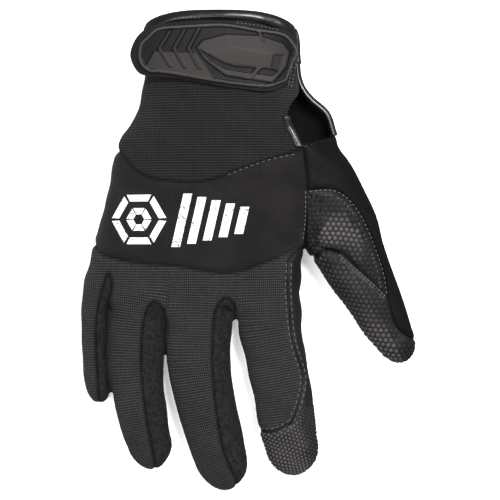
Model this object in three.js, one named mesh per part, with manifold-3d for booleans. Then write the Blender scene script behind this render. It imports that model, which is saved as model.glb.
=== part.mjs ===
// Mechanic glove for a right hand, lying on its palm. Millimetres, +Z up, the back of the hand on top.
// +Y points to the wrist and +X to the thumb. The origin is under its middle, on the surface that it lies on.
//
// It is one hollow form, a palm body with four finger tubes and a thumb tube, cut along its seams into the
// cloth and leather pieces that it is sewn from. The strap and its moulded tab lie over the wrist.
import * as THREE from "three";
import { mergeVertices } from "three/addons/utils/BufferGeometryUtils.js";
import Module from "manifold-3d";

const wasm = await Module();
wasm.setup();

// Driving dimensions
const WALL = 1.8; // thickness of the cloth and leather walls
const SEAM_GAP = 0.3; // gap between two pieces at a seam
const SEAM_Z = 7.5; // height of the side seam that joins the palm to the pieces above it
const KNUCKLE_PADDING = 0.8; // how far the knuckle panel stands proud of the knit
const BINDING = 0.8; // thickness of the folded tape on each side of a bound edge
const BINDING_SLACK = 0.3; // gap between the tape and the wall that it folds over
const BINDING_WIDTH = 5; // how far the tape reaches in from the edge
const BINDING_LIP = 1.2; // how far the tape's fold stands beyond the wall's own edge
const RIM_Z = 15; // height of the palm's free edge beside the wrist slit
const STRAP_GAP = 0.3; // gap between the strap and its tab
const STRAP_THICKNESS = 1.8; // the woven strap under the tab
const TAB_BASE = 1.4; // the moulded tab's thickness in its sunk field
const TAB_RELIEF = 1.1; // how far its border, chevrons and plate rise above the field
const ABOVE = 60; // a height above the whole glove, for cutting prisms
const BELOW = -10;
const BESIDE = 130; // beyond the glove on each side
const BEYOND = 150; // beyond its ends
const STRAP_LOW_Z = 9; // a height under the strap and its tab, above the underside of their form
const HEM_OVERLAP = 1; // how far the slit tape's slot reaches under the hem beside it
const MIDDLE = { x: 1.17, y: -0.78 }; // the glove's middle, in the frame of the tables below

// Sections of the palm body from the cuff's mouth to the knuckles. Each is a rounded oval across the glove:
// left and right edge, height of its top and of its widest line, and how far it would reach below that line
// if the surface that it lies on didn't flatten it.
const BODY = [
  { y: 124, left: -47, right: 22, top: 30, mid: 14, dip: 14 },
  { y: 110, left: -50, right: 25.3, top: 30.5, mid: 14, dip: 14 },
  { y: 97, left: -51, right: 26, top: 30, mid: 14, dip: 14 },
  { y: 85, left: -51, right: 27.3, top: 29.5, mid: 13.5, dip: 14 },
  { y: 77, left: -52.5, right: 32, top: 30, mid: 13, dip: 15 },
  { y: 69, left: -54.5, right: 40.7, top: 31, mid: 13, dip: 16 },
  { y: 61, left: -59, right: 43.8, top: 32, mid: 13, dip: 17 },
  { y: 53, left: -63.5, right: 45.5, top: 33, mid: 13, dip: 18 },
  { y: 40, left: -65.7, right: 44, top: 34, mid: 13, dip: 18 },
  { y: 21, left: -69.6, right: 37, top: 34, mid: 13, dip: 17 },
  { y: 5, left: -74.2, right: 30.5, top: 33, mid: 13, dip: 16 },
  { y: -6, left: -76.3, right: 27.5, top: 31, mid: 12.5, dip: 14 },
  { y: -14, left: -78.5, right: 26.5, top: 28.5, mid: 12, dip: 13 },
];
const BODY_CAP = 22; // length of the rounded end that the fingers grow out of

// Sections of each finger and of the thumb, from inside the palm to where the rounded tip begins:
// centre, half width, and heights as above. tip is the length of the rounded end.
const DIGITS = {
  index: {
    tip: 16,
    rows: [
      { x: 9, y: 5, half: 13, top: 30, mid: 14, dip: 15 },
      { x: 11, y: -15, half: 14.6, top: 28, mid: 13, dip: 13 },
      { x: 11.6, y: -27, half: 15.8, top: 24.5, mid: 12, dip: 11 },
      { x: 12.2, y: -39, half: 15.6, top: 22.5, mid: 11.5, dip: 10 },
      { x: 15.2, y: -55, half: 14.8, top: 21.5, mid: 11, dip: 9.5 },
      { x: 18.2, y: -71, half: 14.5, top: 20, mid: 10, dip: 9.5 },
      { x: 20.4, y: -87, half: 14, top: 18, mid: 9, dip: 10 },
      { x: 22.7, y: -97, half: 13, top: 16, mid: 8.5, dip: 10 },
    ],
  },
  middle: {
    tip: 17.8,
    rows: [
      { x: -20, y: 5, half: 13, top: 31, mid: 14, dip: 15 },
      { x: -22.5, y: -15, half: 15, top: 29, mid: 13, dip: 13 },
      { x: -23.3, y: -27, half: 16.2, top: 25.5, mid: 12.5, dip: 11 },
      { x: -23.4, y: -39, half: 16.3, top: 23, mid: 12, dip: 10 },
      { x: -23.5, y: -55, half: 15.8, top: 22, mid: 11.5, dip: 9.5 },
      { x: -21.4, y: -71, half: 15, top: 21, mid: 10.5, dip: 9.5 },
      { x: -17.6, y: -87, half: 14.3, top: 19, mid: 9.5, dip: 10 },
      { x: -12.9, y: -103, half: 13.2, top: 16.5, mid: 8.5, dip: 10 },
    ],
  },
  ring: {
    tip: 14,
    rows: [
      { x: -46, y: 5, half: 12, top: 30, mid: 14, dip: 15 },
      { x: -50, y: -15, half: 13, top: 27, mid: 12.5, dip: 13 },
      { x: -53.2, y: -27, half: 13.4, top: 24, mid: 12, dip: 11 },
      { x: -54.5, y: -39, half: 14, top: 22, mid: 11.5, dip: 10 },
      { x: -55.2, y: -55, half: 13.6, top: 21, mid: 11, dip: 9.5 },
      { x: -54, y: -71, half: 12.7, top: 20, mid: 10, dip: 9.5 },
      { x: -51, y: -87, half: 12, top: 18, mid: 9, dip: 10 },
      { x: -48.7, y: -96, half: 11.1, top: 16, mid: 8.5, dip: 10 },
    ],
  },
  little: {
    tip: 10,
    rows: [
      { x: -58, y: 12, half: 9, top: 25, mid: 12, dip: 14 },
      { x: -68.4, y: -5, half: 8.4, top: 25, mid: 12, dip: 12 },
      { x: -73.6, y: -17, half: 7.2, top: 22.5, mid: 11.5, dip: 10.5 },
      { x: -75.5, y: -27, half: 7, top: 20.5, mid: 10.5, dip: 10 },
      { x: -75.8, y: -39, half: 6.6, top: 19.5, mid: 10, dip: 9.5 },
      { x: -75.3, y: -55, half: 6.5, top: 18.5, mid: 9.5, dip: 9.5 },
      { x: -74.2, y: -67, half: 6.2, top: 16.5, mid: 9, dip: 10 },
    ],
  },
  thumb: {
    tip: 12.4,
    rows: [
      { x: 14, y: 56, half: 15, top: 29, mid: 14, dip: 14 },
      { x: 30.5, y: 38, half: 20.5, top: 31, mid: 13.5, dip: 16 },
      { x: 45.5, y: 13, half: 19.8, top: 28.5, mid: 13, dip: 15 },
      { x: 52.8, y: -2.8, half: 17.1, top: 25.5, mid: 12, dip: 14 },
      { x: 61.1, y: -18.4, half: 14.7, top: 22.5, mid: 11, dip: 12.5 },
      { x: 69.2, y: -34.2, half: 12, top: 19.5, mid: 10, dip: 12 },
      { x: 74.5, y: -44.3, half: 9.8, top: 17, mid: 9, dip: 11 },
    ],
  },
};

// Sections of the form that the strap and its tab are bent over. The strap is stiffer than the cuff, so it
// runs out past the outer side of the wrist instead of following it down.
const STRAP_FORM = [
  { y: 124, left: -62, right: 24.2, top: 32, mid: 14, dip: 14 },
  { y: 110, left: -63, right: 27, top: 32.4, mid: 14, dip: 14 },
  { y: 97, left: -64, right: 27.4, top: 31.9, mid: 14, dip: 14 },
  { y: 85, left: -63, right: 28.8, top: 31, mid: 13.5, dip: 14 },
  { y: 77, left: -62, right: 33.2, top: 31.5, mid: 13, dip: 15 },
  { y: 69, left: -62, right: 41.6, top: 32.5, mid: 13, dip: 16 },
];

// Seams and edges seen from above, each a smooth line through the points that its shape needs: [x, y]
const KNUCKLE_TOP = [
  [-90, 72], [-72, 57], [-62.5, 48], [-52.5, 37.8], [-37, 33.8], [-18.5, 34], [-2.5, 39.8], [28.2, 50],
];
const KNUCKLE_BOTTOM = [
  [-92, 18], [-80, 9], [-71.5, -1.6], [-56.2, -5.9], [-33.3, -8.1], [-8, -11.4], [12.7, -4.7], [29, 3],
];
const THUMB_SEAM = [[28.2, 50], [30.2, 31], [29.5, 20], [29, 3], [30.7, -6]];
const SLIT_EDGE = [
  [28.2, 50], [24.6, 57.5], [21.6, 63.5], [21.2, 69], [23.2, 73.5], [26.2, 77.5], [26.6, 81.5], [25.7, 86],
  [24.4, 91], [24.3, 97], [23.8, 110], [21, 126],
];
const SLIT_HEM = [[28.2, 50], [30.6, 53], [35, 54.7], [40, 55.8], [43.5, 57], [60, 62]];
const SADDLE_ARC = [
  [30.2, 29.3], [43.5, 29.6], [51.5, 24.6], [58.6, 14.4], [66, -3], [69.2, -14], [70.6, -23.4],
];
const THUMB_CROSS = [[30.7, -6], [38, -1], [46, -1.5], [57.5, -11.5], [64.5, -17.5], [70.6, -23.4]];
const THUMB_SIDE = [[70.6, -23.4], [72.2, -31], [74.6, -37.5], [79, -42], [86, -45], [95, -47]];
const INDEX_SEAM = [
  [29, 3], [21.2, -6], [20.9, -20], [23.3, -44.7], [28.6, -63.8], [27, -74], [22.5, -86], [12, -90.5],
  [1.2, -88.5],
];
// Each fourchette runs from its apex on the back of the hand down one finger's side. Its outline follows its
// seam on that finger, and comes back through the gap to the next finger.
const FOURCHETTES = {
  index_middle: {
    apex: [-9.5, -23.5],
    shown: [[-14.5, -28], [-16.8, -48.3], [-15.5, -73.8], [-11.5, -99.3], [-5, -116], [-3, -126]],
    gap: [[-5.2, -28], [-5.5, -39], [-4, -55], [-1.7, -71], [1, -87], [3.5, -103], [5, -126]],
  },
  middle_ring: {
    apex: [-45.2, -25.3],
    shown: [[-49.5, -30], [-52.2, -54.5], [-49.7, -83.4], [-46.5, -101.9], [-45, -118]],
    gap: [[-40.5, -30], [-40.2, -45], [-40, -55], [-38.6, -71], [-36, -87], [-33, -103], [-32, -126]],
  },
  ring_little: {
    apex: [-67.8, -11],
    shown: [[-71.6, -20], [-74.8, -38], [-74.4, -58], [-73.9, -72], [-73.6, -90]],
    gap: [[-66.5, -18], [-68.2, -27], [-69.3, -39], [-69.5, -55], [-68, -72], [-66, -90]],
  },
};

// The cuff's edge, and the outlines of the strap and the tab, in the same view
const CUFF_EDGE = { x: -14.3, reach: 44.8, y: 95, rise: 23.3, power: 3 };
const STRAP_OUTLINE = [
  [-56.5, 96.5], [-55.2, 91.7], [-51.8, 87], [-47.2, 85.6], [-35, 84.6], [-27.4, 83.3],
  [-10.3, 80.2], [-0.5, 78.8], [11, 77.9], [16.8, 79.6], [20.6, 82.2], [22.8, 86.5],
  [24.7, 95], [24.7, 99], [23.4, 103.3], [21.3, 106.8], [17.5, 108.5], [5, 110.2],
  [-10, 112.3], [-27.4, 111.9], [-43, 110.7], [-49.3, 108.3], [-53.9, 103.8],
];
const TAB_OUTLINE = [
  [-44.5, 107], [-42.1, 108.5], [-27.4, 109.7], [-10.3, 110.2], [4.9, 108], [16.7, 106.3],
  [19.4, 104.6], [23.3, 97.5], [21.6, 93.1], [19.9, 87.7], [18.2, 82.8], [14.7, 80.8],
  [10.8, 79.3], [-0.5, 80.1], [-10.3, 81.5], [-20.1, 83.2], [-27.4, 84.7], [-34.8, 86.2],
  [-42.1, 87.4], [-46, 87.7], [-48.4, 89.2], [-50.8, 92.6], [-51.3, 97.5], [-49.8, 102],
  [-47.4, 104.1],
];
const TAB_BORDER = 2; // width of the tab's raised border
const CHEVRONS = { count: 3, x: -42.6, y: 98.6, pitch: 6.9, lean: 5.4, reach: 8.2, width: 2.2, tilt: 0.6 };
const TAB_PLATE = [
  [-24, 99], [-21, 102.5], [-9.8, 105.4], [5.9, 104.9], [16.7, 101.5], [19.6, 97.1],
  [18.2, 90.2], [12.3, 81.4], [-9.8, 85.3], [-20.5, 93.6],
];
const PLATE_GROOVE = [ // the sunk edge under the plate's arrow
  [-23, 98.5], [-19.1, 96.1], [-10.7, 91.7], [-5.8, 90.2], [11.8, 88.7], [14.7, 87.7],
  [11.8, 85.3], [2, 86.5], [-10.7, 88.7], [-17.1, 92.6],
];
const PLATE_BARS = [
  [[4.7, 107.2], [6.4, 107], [8.4, 102], [6.9, 102]],
  [[4.9, 89.7], [7.4, 89.5], [2, 83.1], [-1.2, 83.3]],
];

// Turns a table of sections into a smooth function of t, from 0 at its first row to 1 at its last.
function smoothRows(rows) {
  const keys = Object.keys(rows[0]);
  const last = rows.length - 1;
  return (t) => {
    const at = Math.min(Math.max(t, 0), 1) * last;
    const i = Math.min(Math.floor(at), last - 1);
    const f = at - i;
    const [p, a, b, q] = [rows[Math.max(i - 1, 0)], rows[i], rows[i + 1], rows[Math.min(i + 2, last)]];
    const made = {};
    for (const k of keys) {
      made[k] = 0.5 * (2 * a[k] + (b[k] - p[k]) * f + (2 * p[k] - 5 * a[k] + 4 * b[k] - q[k]) * f * f
        + (3 * a[k] - p[k] - 3 * b[k] + q[k]) * f * f * f);
    }
    return made;
  };
}

// One oval section as a ring of points. size scales it about its widest line, and grow moves its surface out.
function ring(s, across, size, grow, sides, power) {
  const floor = Math.max(0, -grow);
  const points = [];
  for (let k = 0; k < sides; k++) {
    const angle = (2 * Math.PI * (k + 0.5)) / sides;
    const c = Math.cos(angle);
    const h = Math.sin(angle);
    const u = Math.sign(c) * Math.abs(c) ** (2 / power) * (s.half * size + grow);
    const reach = (h > 0 ? s.top - s.mid : s.dip) * size + grow;
    const z = s.mid + Math.sign(h) * Math.abs(h) ** (2 / power) * reach;
    points.push([s.x + across[0] * u, s.y + across[1] * u, Math.max(z, floor)]);
  }
  return points;
}

// A closed solid through rings of points, from a flat first end to a single point or a flat last end.
function skin(rings, tip) {
  const sides = rings[0].length;
  const vertices = rings.flat();
  const faces = [];
  for (let r = 0; r + 1 < rings.length; r++) {
    for (let k = 0; k < sides; k++) {
      const [a, b] = [r * sides + k, r * sides + ((k + 1) % sides)];
      faces.push([a, b, a + sides], [b, b + sides, a + sides]);
    }
  }
  const centre = (ringPoints) => [0, 1, 2].map((i) => ringPoints.reduce((sum, p) => sum + p[i], 0) / sides);
  const first = vertices.push(centre(rings[0])) - 1;
  const last = vertices.push(tip ?? centre(rings.at(-1))) - 1;
  const start = (rings.length - 1) * sides;
  for (let k = 0; k < sides; k++) {
    faces.push([(k + 1) % sides, k, first], [start + k, start + ((k + 1) % sides), last]);
  }
  return solid(vertices, faces);
}

function solid(vertices, faces) {
  const made = new wasm.Manifold(new wasm.Mesh({
    numProp: 3,
    vertProperties: new Float32Array(vertices.flat()),
    triVerts: new Uint32Array(faces.flat()),
  }));
  if (made.volume() > 0) return made;
  return solid(vertices, faces.map(([a, b, c]) => [a, c, b]));
}

const NEARBY = 0.01; // how far along a table its direction is taken over, where its whole length is 1

// Rings along a table of sections, then round the tip. Each lies square to the line through the centres,
// or straight across the glove.
function tube(rows, tipLength, grow, { sides, steps, power, straight }) {
  const at = smoothRows(rows);
  const rings = [];
  let ahead;
  for (let i = 0; i <= steps; i++) {
    const t = i / steps;
    const [before, after] = [at(t - NEARBY), at(t + NEARBY)];
    ahead = new THREE.Vector2(straight ? 0 : after.x - before.x, after.y - before.y).normalize();
    rings.push(ring(at(t), [-ahead.y, ahead.x], 1, grow, sides, power));
  }
  const end = rows.at(-1);
  const capSteps = 3;
  for (let i = 1; i < capSteps; i++) {
    const angle = (Math.PI / 2) * (i / capSteps);
    const along = (tipLength + grow) * Math.sin(angle);
    const moved = { ...end, x: end.x + ahead.x * along, y: end.y + ahead.y * along };
    rings.push(ring(moved, [-ahead.y, ahead.x], Math.cos(angle), grow * Math.cos(angle), sides, power));
  }
  const reach = tipLength + grow;
  return skin(rings, [end.x + ahead.x * reach, end.y + ahead.y * reach, end.mid]);
}

// Sections given by their left and right edges, with the centres and half widths that a tube needs
const centred = (rows) =>
  rows.map((r) => ({ ...r, x: (r.left + r.right) / 2, half: (r.right - r.left) / 2 }));
const BODY_POWER = 2.4; // how square the ovals are: 2 is an ellipse
const DIGIT_POWER = 2.3;
const OUTSIDE = {
  body: { sides: 28, steps: 12, power: BODY_POWER, straight: true },
  digit: { sides: 14, steps: 7, power: DIGIT_POWER },
  thumb: { sides: 18, steps: 6, power: DIGIT_POWER },
};
const LINING = {
  body: { sides: 16, steps: 6, power: BODY_POWER, straight: true },
  digit: { sides: 10, steps: 4, power: DIGIT_POWER },
  thumb: { sides: 10, steps: 4, power: DIGIT_POWER },
};
const STRAP_MESH = { sides: 28, steps: 5, power: BODY_POWER, straight: true };

// The whole glove as one solid body, its surface moved out by grow, or in if grow is below 0.
// Long pieces past the mouth are trimmed later, with the cuff's edge.
function hand(grow) {
  const detail = grow < 0 ? LINING : OUTSIDE;
  const body = tube(centred(BODY), BODY_CAP, grow, detail.body);
  const digits = Object.entries(DIGITS).map(([name, { rows, tip }]) =>
    tube(rows, tip, grow, name === "thumb" ? detail.thumb : detail.digit));
  return digits.reduce((whole, digit) => whole.add(digit), body);
}

// Lines in plan
function smoothLine(points, perSpan = 3) {
  const places = points.map(([x, y]) => new THREE.Vector3(x, y, 0));
  const curve = new THREE.CatmullRomCurve3(places, false, "centripetal");
  return curve.getPoints(perSpan * (points.length - 1)).map((p) => [p.x, p.y]);
}
const reversed = (line) => [...line].reverse();

// A closed outline with every side moved in by d, or out if d is below 0
function inset(outline, d) {
  const clean = outline.filter(([x, y], i) => {
    const [px, py] = outline[(i + outline.length - 1) % outline.length];
    return Math.hypot(x - px, y - py) > 1e-6;
  });
  const turn = THREE.ShapeUtils.area(clean.map(([x, y]) => new THREE.Vector2(x, y))) > 0 ? 1 : -1;
  return clean.map((p, i) => {
    const [a, b] = [clean[(i + clean.length - 1) % clean.length], clean[(i + 1) % clean.length]];
    const e = new THREE.Vector2(p[0] - a[0], p[1] - a[1]).normalize();
    const f = new THREE.Vector2(b[0] - p[0], b[1] - p[1]).normalize();
    const shift = (turn * d) / Math.max(1 + e.dot(f), 0.5);
    return [p[0] - (e.y + f.y) * shift, p[1] + (e.x + f.x) * shift];
  });
}

// The solid over an outline between two heights
function prism(outline, low, high) {
  const shape = new THREE.Shape(outline.map(([x, y]) => new THREE.Vector2(x, y)));
  const geometry = new THREE.ExtrudeGeometry(shape, { depth: high - low, bevelEnabled: false });
  geometry.translate(0, 0, low);
  geometry.deleteAttribute("normal");
  geometry.deleteAttribute("uv");
  const merged = mergeVertices(geometry, 1e-4);
  return new wasm.Manifold(new wasm.Mesh({
    numProp: 3,
    vertProperties: new Float32Array(merged.attributes.position.array),
    triVerts: new Uint32Array(merged.index.array),
  }));
}

const UPPER_Z = SEAM_Z + SEAM_GAP / 2;
const LOWER_Z = SEAM_Z - SEAM_GAP / 2;
const upper = (outline) => prism(inset(outline, SEAM_GAP / 2), UPPER_Z, ABOVE);

// Everything short of the cuff's edge by d. The edge bends away only beyond y, so it starts a little before.
function insideCuff(d) {
  const { x, reach, y, rise, power } = CUFF_EDGE;
  const start = y - 5;
  const edge = [];
  const count = 16;
  for (let i = 0; i <= count; i++) {
    const angle = Math.PI * (1 - i / count);
    const [c, s] = [Math.cos(angle), Math.sin(angle)];
    const across = Math.sign(c) * Math.abs(c) ** (2 / power) * (reach - d);
    edge.push([x + across, y + s ** (2 / power) * (rise - d)]);
  }
  const hand = [[-BESIDE, -BEYOND], [BESIDE, -BEYOND], [BESIDE, start], [x + reach - d, start]];
  return prism([...hand, ...reversed(edge), [x - reach + d, start], [-BESIDE, start]], BELOW, ABOVE);
}

// Panels cut from the shell, each by its own outline
const shell = hand(0).subtract(hand(-WALL));
const cuffed = shell.intersect(insideCuff(BINDING_LIP + BINDING_SLACK));
const padded = hand(KNUCKLE_PADDING).subtract(hand(-WALL));

const knuckleTop = smoothLine(KNUCKLE_TOP);
const knuckleBottom = smoothLine(KNUCKLE_BOTTOM);
const thumbSeam = smoothLine(THUMB_SEAM);
const slitEdge = smoothLine(SLIT_EDGE);
const saddleArc = smoothLine(SADDLE_ARC);
const thumbCross = smoothLine(THUMB_CROSS);
const thumbSide = smoothLine(THUMB_SIDE);
const indexSeam = smoothLine(INDEX_SEAM);
// The open slit's outline: right of the back panel's edge, above the hem of the thumb's outer panel
const slitRegion = (d) => inset([...smoothLine(SLIT_HEM), [70, 130], [20, 130], ...reversed(slitEdge)], d);
// the part of the thumb's seam on one side of a line across the glove
const seamAbove = (y) => thumbSeam.filter((p) => p[1] > y);
const seamBelow = (y) => thumbSeam.filter((p) => p[1] < y);

const backOutline = [...knuckleTop, ...slitEdge.slice(1), [-90, 126]];
const knuckleOutline = [...knuckleBottom, ...reversed(seamAbove(3.5)), ...reversed(knuckleTop)];
const fingersOutline = [...reversed(knuckleBottom), [-92, -135], [30.7, -135], [30.7, -6]];
const indexOutline = [...indexSeam, [3, -135], [44, -135], [38, -45], [30.9, -6]];
const slitHem = smoothLine(SLIT_HEM);
const outerOutline = [
  ...saddleArc, ...thumbSide.slice(1), [120, -47], [120, 84], ...reversed(slitHem), ...seamAbove(31),
];
const saddleOutline = [...thumbCross, ...reversed(saddleArc).slice(1), ...seamBelow(30)];
const frontOutline = [
  [30.7, -90], [120, -90], [120, -47], ...reversed(thumbSide), ...reversed(thumbCross).slice(1),
];

function fourchetteOutline({ apex, shown, gap }) {
  return smoothLine([...reversed(shown), apex, ...gap], 3);
}

const keepOut = (outline) => prism(inset(outline, -SEAM_GAP / 2), BELOW, ABOVE);
const indexKeepOut = keepOut(indexOutline);

// A cut can leave a loose scrap on a neighbouring form, so each panel keeps only its main body.
function mainBody(made) {
  return made.decompose().sort((a, b) => b.volume() - a.volume())[0];
}

function palm() {
  const everywhere = [[-BESIDE, -BEYOND], [BESIDE, -BEYOND], [BESIDE, BEYOND], [-BESIDE, BEYOND]];
  const low = cuffed.intersect(prism(everywhere, BELOW, LOWER_Z));
  const wristSide = cuffed.intersect(prism(slitRegion(SEAM_GAP / 2), BELOW, RIM_Z));
  return low.add(wristSide);
}

const backPanel = () => cuffed.intersect(upper(backOutline));
const knucklePanel = () => padded.intersect(upper(knuckleOutline));

function fingerBack() {
  const cuts = [indexKeepOut, ...Object.values(FOURCHETTES).map((f) => keepOut(fourchetteOutline(f)))];
  return cuts.reduce((left, cut) => left.subtract(cut), shell.intersect(upper(fingersOutline)));
}

const fourchette = (spec) => shell.intersect(upper(fourchetteOutline(spec))).subtract(indexKeepOut);
const indexWrap = () => shell.intersect(upper(indexOutline));
const thumbOuter = () => shell.intersect(upper(outerOutline));
const thumbSaddle = () => shell.intersect(upper(saddleOutline));
const thumbFront = () => shell.intersect(upper(frontOutline));

// Folded tape over a free edge: a sleeve round the wall, less the wall itself with some slack
const sleeve = hand(BINDING + BINDING_SLACK).subtract(hand(-WALL - BINDING - BINDING_SLACK));
const slot = hand(BINDING_SLACK).subtract(hand(-WALL - BINDING_SLACK));

function cuffBinding() {
  const band = insideCuff(0).subtract(insideCuff(BINDING_WIDTH));
  const slit = prism(slitRegion(0), RIM_Z, ABOVE);
  return sleeve.intersect(band).subtract(slot.intersect(insideCuff(BINDING_LIP))).subtract(slit);
}

// The tape on the palm's edge of the wrist slit, from the cuff's tape down to the hem
function slitBinding() {
  const reach = prism(slitRegion(SEAM_GAP), RIM_Z - BINDING_WIDTH, RIM_Z + BINDING_SLACK + BINDING_LIP);
  const wall = slot.intersect(prism(slitRegion(-HEM_OVERLAP), BELOW, RIM_Z + BINDING_SLACK));
  return sleeve.intersect(reach).subtract(wall).intersect(insideCuff(BINDING_WIDTH + SEAM_GAP));
}

// The strap and its moulded tab
const strapForm = (grow) => tube(centred(STRAP_FORM), 1, grow, STRAP_MESH);
const overStrap = (lift) => strapForm(STRAP_THICKNESS + lift);
const strapLayer = (low, high) => overStrap(high).subtract(overStrap(low));

function wristStrap() {
  const layer = strapForm(STRAP_THICKNESS).subtract(strapForm(0));
  return layer.intersect(prism(STRAP_OUTLINE, STRAP_LOW_Z, ABOVE));
}

// One chevron pointing to the strap's free end
function chevron(i) {
  const { x, y, pitch, lean, reach, width, tilt } = CHEVRONS;
  const left = x + i * pitch;
  const arm = reach + tilt * (i + 1);
  return [
    [left, y], [left + lean, y + arm], [left + lean + width, y + arm],
    [left + width, y], [left + lean + width, y - arm], [left + lean, y - arm],
  ];
}

function strapTab() {
  const raised = strapLayer(STRAP_GAP, TAB_BASE + TAB_RELIEF);
  const over = (outline) => prism(outline, STRAP_LOW_Z, ABOVE);
  const whole = over(TAB_OUTLINE);
  const plate = over(TAB_PLATE).subtract(over(PLATE_GROOVE));
  const reliefs = [whole.subtract(over(inset(TAB_OUTLINE, TAB_BORDER))), plate, ...PLATE_BARS.map(over)];
  for (let i = 0; i < CHEVRONS.count; i++) reliefs.push(over(chevron(i)));
  const field = strapLayer(STRAP_GAP, TAB_BASE).intersect(whole);
  return reliefs.reduce((made, relief) => made.add(raised.intersect(relief)), field);
}

// Looks
const LEATHER = { color: 0x121214, roughness: 0.42, metalness: 0 };
const GRIP = { color: 0x1d1b1a, roughness: 0.5, metalness: 0 };
const KNIT = { color: 0x18181a, roughness: 0.9, metalness: 0 };
const SMOOTH_KNIT = { color: 0x101013, roughness: 0.85, metalness: 0 };
const NEOPRENE = { color: 0x1e1b1d, roughness: 0.8, metalness: 0 };
const BOUND = { color: 0x0c0c0d, roughness: 0.25, metalness: 0 };
const MOULDED = { color: 0x2e2c2b, roughness: 0.5, metalness: 0 };

function mesh(name, made, look) {
  const { numProp, numVert, vertProperties, triVerts } = made.getMesh();
  const positions = new Float32Array(numVert * 3);
  for (let i = 0; i < numVert; i++) {
    positions.set(vertProperties.subarray(i * numProp, i * numProp + 3), i * 3);
  }
  const geometry = new THREE.BufferGeometry();
  geometry.setAttribute("position", new THREE.BufferAttribute(positions, 3));
  geometry.setIndex(new THREE.BufferAttribute(triVerts, 1));
  geometry.computeVertexNormals();
  const piece = new THREE.Mesh(geometry, new THREE.MeshStandardMaterial(look));
  piece.name = name;
  return piece;
}

const glove = new THREE.Group();
glove.position.set(-MIDDLE.x, -MIDDLE.y, 0);
const add = (name, made, look) => glove.add(mesh(name, mainBody(made), look));
add("palm", palm(), GRIP);
add("back_panel", backPanel(), KNIT);
add("knuckle_panel", knucklePanel(), NEOPRENE);
add("finger_back", fingerBack(), KNIT);
for (const [name, spec] of Object.entries(FOURCHETTES)) {
  add(`fourchette_${name}`, fourchette(spec), SMOOTH_KNIT);
}
add("index_wrap", indexWrap(), GRIP);
add("thumb_outer", thumbOuter(), LEATHER);
add("thumb_saddle", thumbSaddle(), GRIP);
add("thumb_front", thumbFront(), GRIP);
add("cuff_binding", cuffBinding(), BOUND);
add("slit_binding", slitBinding(), BOUND);
add("wrist_strap", wristStrap(), SMOOTH_KNIT);
add("strap_tab", strapTab(), MOULDED);

export default glove;
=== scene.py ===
"""A right-hand mechanic glove lying on its palm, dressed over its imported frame.

The form is worked out once as a smooth skin in numpy, from the same sections and seams as the frame's
solids. The skin is cut along the seams into the panels that the glove is sewn from, and each panel is
tucked into its seams and given its thickness. Stitches, dots, tapes and the moulded tab go on top.
Tables are in millimetres. MIDDLE is the glove's middle in their frame, and the frame's origin.
"""
import math

import bpy
import numpy as np
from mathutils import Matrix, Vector
from mathutils.bvhtree import BVHTree
from mathutils.kdtree import KDTree

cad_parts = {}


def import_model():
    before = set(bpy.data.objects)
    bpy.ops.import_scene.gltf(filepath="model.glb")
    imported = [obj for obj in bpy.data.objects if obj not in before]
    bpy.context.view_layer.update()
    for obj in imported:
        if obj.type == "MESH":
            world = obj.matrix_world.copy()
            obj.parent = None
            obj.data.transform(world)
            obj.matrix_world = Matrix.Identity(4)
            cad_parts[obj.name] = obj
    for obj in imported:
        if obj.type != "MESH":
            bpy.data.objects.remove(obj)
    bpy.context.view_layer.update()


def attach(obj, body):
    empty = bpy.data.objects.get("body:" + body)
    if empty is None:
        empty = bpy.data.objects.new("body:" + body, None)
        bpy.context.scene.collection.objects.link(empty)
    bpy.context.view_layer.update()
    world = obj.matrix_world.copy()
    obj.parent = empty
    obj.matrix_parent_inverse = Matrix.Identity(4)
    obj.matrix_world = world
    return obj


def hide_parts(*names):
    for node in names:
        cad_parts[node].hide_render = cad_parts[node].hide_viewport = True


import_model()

MM = 0.001
MIDDLE = np.array([1.17, -0.78, 0.0])
VIEW_HEIGHT = 0.9  # the camera's, above the glove's back, in metres
VIEW_WIDTH = 0.25  # what the camera sees there
VIEW_LEVEL = 0.014  # and the height in the glove that it sees at that width
VIEW_CENTRE = (2, 0)

# Driving dimensions
WALL = 1.6  # cloth and leather thickness
SEAM_ROUND = 1.2  # how far from a seam a panel begins to turn down into it
BULGE_AT = 3.0  # distance of a panel's bulge from its seam
BULGE_WIDTH = 1.6
PADDING_ROUND = 4.5  # distance from the seam at which padding has its full height
PUCKER = 0.12  # how much the cloth is drawn up and down beside a seam
PUCKER_REACH = 2.6
EDGE_REACH = 0.8  # how near a panel's edge lies to a line that it belongs to
CELL = 0.9  # edge length of the skin's faces
FORM_BOX = ((-86, 90), (-124, 127), (-2, 38))  # a box round the whole form
CLOTH_END = 1.5  # how far the cloth stops short of the cuff tape's fold
SEAM_Z = 7.5  # height of the side seam between the palm and the panels above it
RIM_Z = 15.0  # height of the palm's free edge beside the wrist slit
FLOOR_ROUND = 3.0  # radius of the edge where the palm meets the surface that it lies on
STRAP_THICKNESS = 1.8
STRAP_LOW_Z = 9.0  # a height under the strap, above the underside of its form
TAB_GAP = 0.1  # between the strap and the tab on it
TAB_BASE = 1.6  # the tab's thickness in its sunk field
TAB_RELIEF = 1.1  # how far its border, chevrons and plate rise above the field
TAB_BORDER = 1.3  # width of its raised border
TAPE = 1.0  # how far the folded tapes stand off the cloth that they bind
FULL_TAPE = 1.4  # and where they are thickest, on the cuff and the back panel
TAPE_WIDTH = 5.0
SLIT_TAPE_LOW = 6.0  # a height below the slit's tape
BACK_TAPE_SPAN = (50.5, 66)  # from y to y, the tape on the back panel's slit edge
BACK_TAPE_SIDE = 30  # an x past its side
TAPE_TUCK = 0.8  # how far a tape's inner edge lies inside the cloth, on its outer side
TAPE_ROLL = 0.62  # the part of a tape's width over which it rounds its fold
DOT_PITCH = 2.7  # of the grip dots on the thumb
DOT_RADIUS = 1.13
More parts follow.
